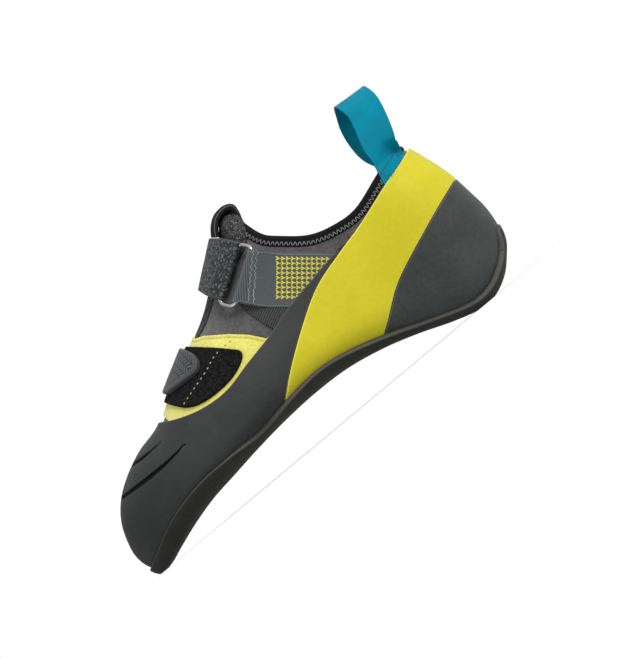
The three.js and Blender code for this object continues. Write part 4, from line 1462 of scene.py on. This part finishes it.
def thread_finish(name, colour):
    paint = Paint(name, 0.55, Sheen_Weight=0.2)
    twist = paint.noise(paint.object_place(), 2600, 2)
    paint.feed("Base Color", paint.blend(twist, tone(*colour, 0.75), tone(*colour, 1.15)))
    return paint.material


def steel_finish(name):
    paint = Paint(name, 0.22, Metallic=1.0)
    wear = paint.noise(paint.object_place(), 500, 4)
    paint.feed("Base Color", paint.blend(wear, tone(150, 151, 152), tone(215, 215, 214)))
    paint.feed("Roughness", 0.14 + 0.2 * wear)
    return paint.material


def board_finish(name):
    """Lined insole board: pale fabric over board, a little worn where the foot rests."""
    paint = Paint(name, 0.9, Sheen_Weight=0.2, Specular_IOR_Level=0.2)
    place = paint.object_place()
    weave = paint.cells(place, 900, "F1").ramp(0.1, 0.7)
    worn = paint.noise(place, 26, 4).ramp(0.35, 0.7)
    paint.feed("Base Color", paint.blend(0.5 * weave + 0.5 * worn, tone(112, 106, 94), tone(160, 152, 136)))
    paint.feed("Normal", paint.bump(weave, 0.1 * mm, 0.8))
    return paint.material


# Threads, piping and other sewn trim
def overlock(side):
    """Slanting stitches under the collar's tape."""
    line = beside(collar_line, -4.4 * mm)
    front = 0.380 if side > 0 else 0.418
    share = (heel_rest - line[:, 0]) / shoe_length
    line = line[(share > 0.085) & (share < front)]
    place, out = skin_frame(line[:, 0], line[:, 1], side)
    path, way = spaced(place + out * 0.95 * mm, 1.15 * mm)
    spots = []
    for k, (middle, along) in enumerate(zip(path, way)):
        here = np.array([np.interp(middle[0], *sorted_pair(place[:, 0], out[:, j])) for j in range(3)])
        along = along / np.linalg.norm(along)
        down = np.cross(here, along)
        lean = 0.42 if k % 2 else -0.42
        spots.append((middle, down + along * lean, here))
    return spots


def skin_top(x, y):
    """Points on the upper half of the last for places in plan, with the ways out."""
    def height(px, py):
        cut_here = section_over(px)
        edge = np.where(py < cut_here["ridge"], -cut_here["outer"], cut_here["inner"])
        share = np.clip(np.abs((py - cut_here["ridge"]) / (edge - cut_here["ridge"])), 0, 1)
        rise = cut_here["top"] - cut_here["waist"]
        return cut_here["waist"] + rise * (1 - share ** cut_here["crown"]) ** (1 / cut_here["crown"])

    step = 0.4 * mm
    z = height(x, y)
    slope_x = (height(x + step, y) - height(x - step, y)) / (2 * step)
    slope_y = (height(x, y + step) - height(x, y - step)) / (2 * step)
    out = np.stack([-slope_x, -slope_y, np.ones(len(x))], axis=1)
    return np.stack([x, y, z], axis=1), unit(out)


def throat_path(margin, rear_share=0.405):
    outline = throat_outline(margin)
    line = joined(outline[1:], outline[0])
    line = line[line[:, 0] < heel_rest - rear_share * shoe_length + 60 * mm]
    dense = []
    for start, end in zip(line[:-1], line[1:]):
        count = max(2, int(np.linalg.norm(end - start) / (1.5 * mm)))
        dense += [start + (end - start) * k / count for k in range(count)]
    dense = np.array(dense + [line[-1]])
    return dense[dense[:, 0] < heel_rest - rear_share * shoe_length]


def tube(name, path, radius):
    curve = bpy.data.curves.new(name, "CURVE")
    curve.dimensions = "3D"
    curve.bevel_depth = radius
    curve.bevel_resolution = 3
    curve.use_fill_caps = True
    spline = curve.splines.new("POLY")
    spline.points.add(len(path) - 1)
    for point, spot in zip(spline.points, path):
        point.co = (*spot, 1)
    piece = bpy.data.objects.new(name, curve)
    bpy.context.scene.collection.objects.link(piece)
    return piece


def dress(piece, material, slot, *nodes):
    piece.data.materials.clear()
    piece.data.materials.append(material)
    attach(piece, "root")
    if nodes:
        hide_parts(*nodes)
    return piece


def make_rubber():
    sole_rubber = rubber_finish("sole_rubber", tone(38, 38, 35), tone(55, 55, 52), tone(86, 85, 80), 0.7)
    rand_rubber = rubber_finish(
        "rand_rubber", tone(47, 49, 48), tone(64, 66, 65), tone(92, 94, 93), 0.66)
    yellow_rubber = rubber_finish(
        "yellow_rubber", tone(206, 195, 24), tone(220, 210, 44), tone(243, 236, 112), 0.56, 0.04, 0.03)
    heel_rubber = rubber_finish(
        "heel_rubber", tone(52, 54, 54), tone(72, 75, 74), tone(96, 98, 98), 0.5, 0.06)
    dress(outsole(), sole_rubber, "sole_rubber", "outsole")
    dress(toe_rand(), rand_rubber, "rand_rubber", "toe_rand")
    dress(tension_band(), yellow_rubber, "yellow_rubber", "tension_band")
    dress(heel_cup(), heel_rubber, "heel_rubber", "heel_cup")


def make_cloth():
    grey_suede = suede_finish("grey_suede", tone(58, 57, 57), tone(110, 108, 108))
    yellow_suede = suede_finish("yellow_suede", tone(212, 205, 84), tone(252, 246, 142), 800, 0.14)
    binding = ribbed_finish("black_binding", tone(10, 10, 11), tone(34, 34, 35), 0.55, 0.0, 0.08)
    knit = knit_finish("tongue_knit", tone(8, 8, 9), tone(120, 120, 120))
    dress(upper(), grey_suede, "grey_microsuede", "upper")
    dress(collar_binding(), binding, "black_binding", "collar_binding")
    dress(insole(), board_finish("insole_board"), "insole_board", "insole")
    dress(tongue(), knit, "tongue_knit", "tongue")
    dress(tongue_top(), knit, "tongue_knit")
    dress(vamp_panel(), yellow_suede, "yellow_microsuede", "vamp_panel")


def make_fittings():
    """Patch, lower strap, elastic, webbing and ring."""
    elastic = ribbed_finish("black_elastic", tone(8, 8, 9), tone(118, 120, 120), 1.15, 0.55, 0.4)
    dress(loop_patch(), pile_finish("loop_pile"), "loop_pile", "loop_patch")
    dress(lower_strap(), herringbone_finish("lower_strap_rubber"), "strap_rubber", "lower_strap")
    dress(side_elastic(), elastic, "black_elastic", "side_elastic")
    dress(label_webbing(), webbing_finish("grey_webbing"), "grey_webbing", "label_webbing")
    dress(d_ring(), steel_finish("steel_wire"), "steel_wire", "d_ring")


def make_tabs():
    teal = twill_finish("teal_ribbon", tone(0, 104, 132), tone(0, 166, 192), ribbon_width / mm / 2)
    dress(tongue_tab(), hood_finish("tab_hood"), "black_tape", "tongue_tab")
    # The dark sheet inside the hood stands in for the shade there.
    dress(tongue_tab_shade_sheet(), hood_finish("tab_shade_sheet"), "black_tape")
    dress(pull_loop(), teal, "teal_ribbon", "pull_loop")


def make_strap():
    cover_piece, hook_piece, tape_piece = strap_pieces()
    yellow_tape = suede_finish("yellow_tape", tone(196, 187, 50), tone(226, 218, 90))
    anchor_tape = ribbed_finish("anchor_tape", tone(24, 25, 26), tone(60, 62, 63), 0.8, 0.0, 0.12)
    dress(cover_piece, pebble_finish("strap_pebbles", -7.0, 30.0), "strap_rubber", "upper_strap")
    dress(hook_piece, pile_finish("hook_pile"), "loop_pile")
    dress(tape_piece, yellow_tape, "yellow_microsuede")
    dress(strap_anchor(), anchor_tape, "strap_rubber")


def make_stitches():
    collar_thread = thread_finish("collar_thread", (135, 135, 133))
    pale_thread = thread_finish("pale_thread", (170, 172, 168))
    spots = overlock(-1) + overlock(1)
    dress(stitches("collar_overlock", spots, 2.5 * mm, 0.2 * mm), collar_thread, "black_binding")
    dress(stitches("webbing_stitches", webbing_seam(), 1.1 * mm, 0.2 * mm), pale_thread, "grey_webbing")
    make_panel_seam()
    make_loop_box()


def make_piping():
    """The thin welt round the throat."""
    piping = suede_finish("throat_piping", tone(36, 35, 35), tone(70, 67, 66))
    plan = throat_path(0.6 * mm)
    place, out = skin_top(plan[:, 0], plan[:, 1])
    dress(tube("throat_piping", place + out * 0.2 * mm, 0.9 * mm), piping, "grey_microsuede")


def webbing_seam():
    """Two short rows of stitches where the webbing's fold ends."""
    points, chart = webbing_grid()
    out = outward_normals(points, np.array([0, -1, 0]))
    spots = []
    for shift in (3.4, 4.9):
        line = []
        for column in range(1, points.shape[1] - 1):
            away = shift + 0.12 * chart[-1, column, 1] / mm
            row = int(np.argmin(np.abs(chart[:, column, 0] / mm - away)))
            way_out = out[row, column]
            line.append([*(points[row, column] + way_out * 0.62 * webbing_thickness), *way_out])
        path, way = spaced(np.array(line), 2.6 * mm)
        spots += [(here[:3], run[:3], here[3:]) for here, run in zip(path, way)]
    return spots


def make_panel_seam():
    """The seam that crosses the yellow panel and goes on over the loop patch."""
    seam = smooth(side_line([
        [0.5664, 0.7402 * heel], [0.5852, 0.7424 * heel], [0.5968, 0.7413 * heel],
        [0.6140, 0.7348 * heel], [0.6328, 0.7174 * heel], [0.6460, 0.7022 * heel],
        [0.6840, 0.6728 * heel], [0.7208, 0.6435 * heel], [0.7308, 0.6337 * heel],
        [0.7508, 0.6185 * heel]]), 80)
    patch = inside(joined(patch_edge, [patch_edge[-1][0], high], [patch_edge[0][0], high]))
    on_patch = patch(np.stack([seam[:, 0], 0 * seam[:, 0], seam[:, 1]], axis=1)) > 0.4 * mm
    pale = thread_finish("pale_yellow_thread", (225, 220, 140))
    dark = thread_finish("dark_yellow_thread", (120, 108, 30))
    lines = [
        ("patch_stitches", seam[on_patch], patch_top + 0.1 * mm, pale, "loop_pile"),
        ("panel_stitches", seam[~on_patch][:12], panel_top + 0.05 * mm, dark, "yellow_microsuede")]
    for name, line, lift, thread, slot in lines:
        dress(stitches(name, sewn_line(line, 3.1 * mm, lift), 1.3 * mm, 0.26 * mm), thread, slot)


def make_loop_box():
    """Dark box stitch that holds the pull loop's leg."""
    corners = side_line([
        [0.0672, 0.9685 * heel], [0.0708, 0.9087 * heel], [0.1116, 0.8685 * heel],
        [0.1208, 0.9261 * heel], [0.0672, 0.9685 * heel]])
    spots = []
    for start, end in zip(corners[:-1], corners[1:]):
        line = start + (end - start) * np.linspace(0, 1, 12)[:, None]
        spots += sewn_line(line, 1.5 * mm, 2.75 * mm)
    thread = thread_finish("dark_red_thread", (62, 26, 30))
    dress(stitches("loop_box_stitches", spots, 1.25 * mm, 0.2 * mm), thread, "teal_ribbon")


# Camera at the photograph's angle, floor and light
view_centre = Vector((-73.8 * mm, 0, 45.9 * mm))
view_roll = math.radians(39.8)
view_distance = 8.0
view_height = 334.1 * mm
sensor = 36
sky_light = 0.9
ground_light = 0.16


def make_camera():
    data = bpy.data.cameras.new("camera")
    data.sensor_width = sensor
    data.lens = sensor * view_distance / view_height
    data.clip_start = 0.05
    data.clip_end = 50
    camera = bpy.data.objects.new("camera", data)
    bpy.context.scene.collection.objects.link(camera)
    right = Vector((math.cos(view_roll), 0, -math.sin(view_roll)))
    up = Vector((math.sin(view_roll), 0, math.cos(view_roll)))
    place = view_centre - Vector((0, view_distance, 0))
    camera.matrix_world = Matrix([
        [right[k], up[k], (0, -1, 0)[k], place[k]] for k in range(3)] + [[0, 0, 0, 1]])
    bpy.context.scene.camera = camera


def lamp(name, place, size, power, colour=(1, 1, 1)):
    data = bpy.data.lights.new(name, "AREA")
    data.shape = "DISK"
    data.size = size
    data.energy = power
    data.color = colour
    light = bpy.data.objects.new(name, data)
    bpy.context.scene.collection.objects.link(light)
    light.location = view_centre + Vector(place)
    light.rotation_euler = (-Vector(place)).to_track_quat("-Z", "Y").to_euler()


def make_world():
    """Soft even light, behind which the camera sees plain white."""
    world = bpy.data.worlds.new("studio")
    world.use_nodes = True
    tree = world.node_tree
    shown = tree.nodes["Background"]
    shown.inputs["Color"].default_value = (1, 1, 1, 1)
    rays = tree.nodes.new("ShaderNodeLightPath")
    place = tree.nodes.new("ShaderNodeTexCoord")
    height = tree.nodes.new("ShaderNodeVectorMath")
    height.operation = "DOT_PRODUCT"
    tree.links.new(place.outputs["Generated"], height.inputs[0])
    height.inputs[1].default_value = (math.sin(view_roll), 0, math.cos(view_roll))
    sky = tree.nodes.new("ShaderNodeMapRange")
    tree.links.new(height.outputs["Value"], sky.inputs["Value"])
    sky.inputs["From Min"].default_value = -1
    sky.inputs["To Min"].default_value = ground_light
    sky.inputs["To Max"].default_value = sky_light
    strength = tree.nodes.new("ShaderNodeMapRange")
    tree.links.new(rays.outputs["Is Camera Ray"], strength.inputs["Value"])
    tree.links.new(sky.outputs["Result"], strength.inputs["To Min"])
    strength.inputs["To Max"].default_value = 1.0
    tree.links.new(strength.outputs[0], shown.inputs["Strength"])
    bpy.context.scene.world = world


def make_stage():
    floor_radius = 0.3
    flat = bmesh.new()
    bmesh.ops.create_circle(flat, cap_ends=True, segments=96, radius=floor_radius)
    floor = mesh_of("floor", flat)
    paint = Paint("floor_paper", 0.9, Specular_IOR_Level=0.1)
    place = paint.node("ShaderNodeSeparateXYZ", None, [paint.object_place()])
    back = (Value(paint, place.outputs[0]) - view_centre.x) / (0.5 * shoe_length)
    aside = Value(paint, place.outputs[1]) / (0.8 * ball_width)
    paint.feed("Alpha", (back * back + aside * aside).ramp(0.2, 1.8, 0.4, 0.0))
    cloudy = paint.noise(paint.object_place(), 3, 2)
    paint.feed("Base Color", paint.blend(cloudy, tone(235, 235, 235), tone(245, 245, 245)))
    floor.data.materials.append(paint.material)
    make_world()
    bpy.context.scene.view_settings.view_transform = "Standard"
    lamp("key", (0.75, -0.75, 1.05), 0.7, 12)
    lamp("fill", (-1.1, -1.0, 0.3), 0.9, 4)


make_rubber()
make_cloth()
make_fittings()
make_tabs()
make_strap()
make_stitches()
make_piping()
make_camera()
make_stage()
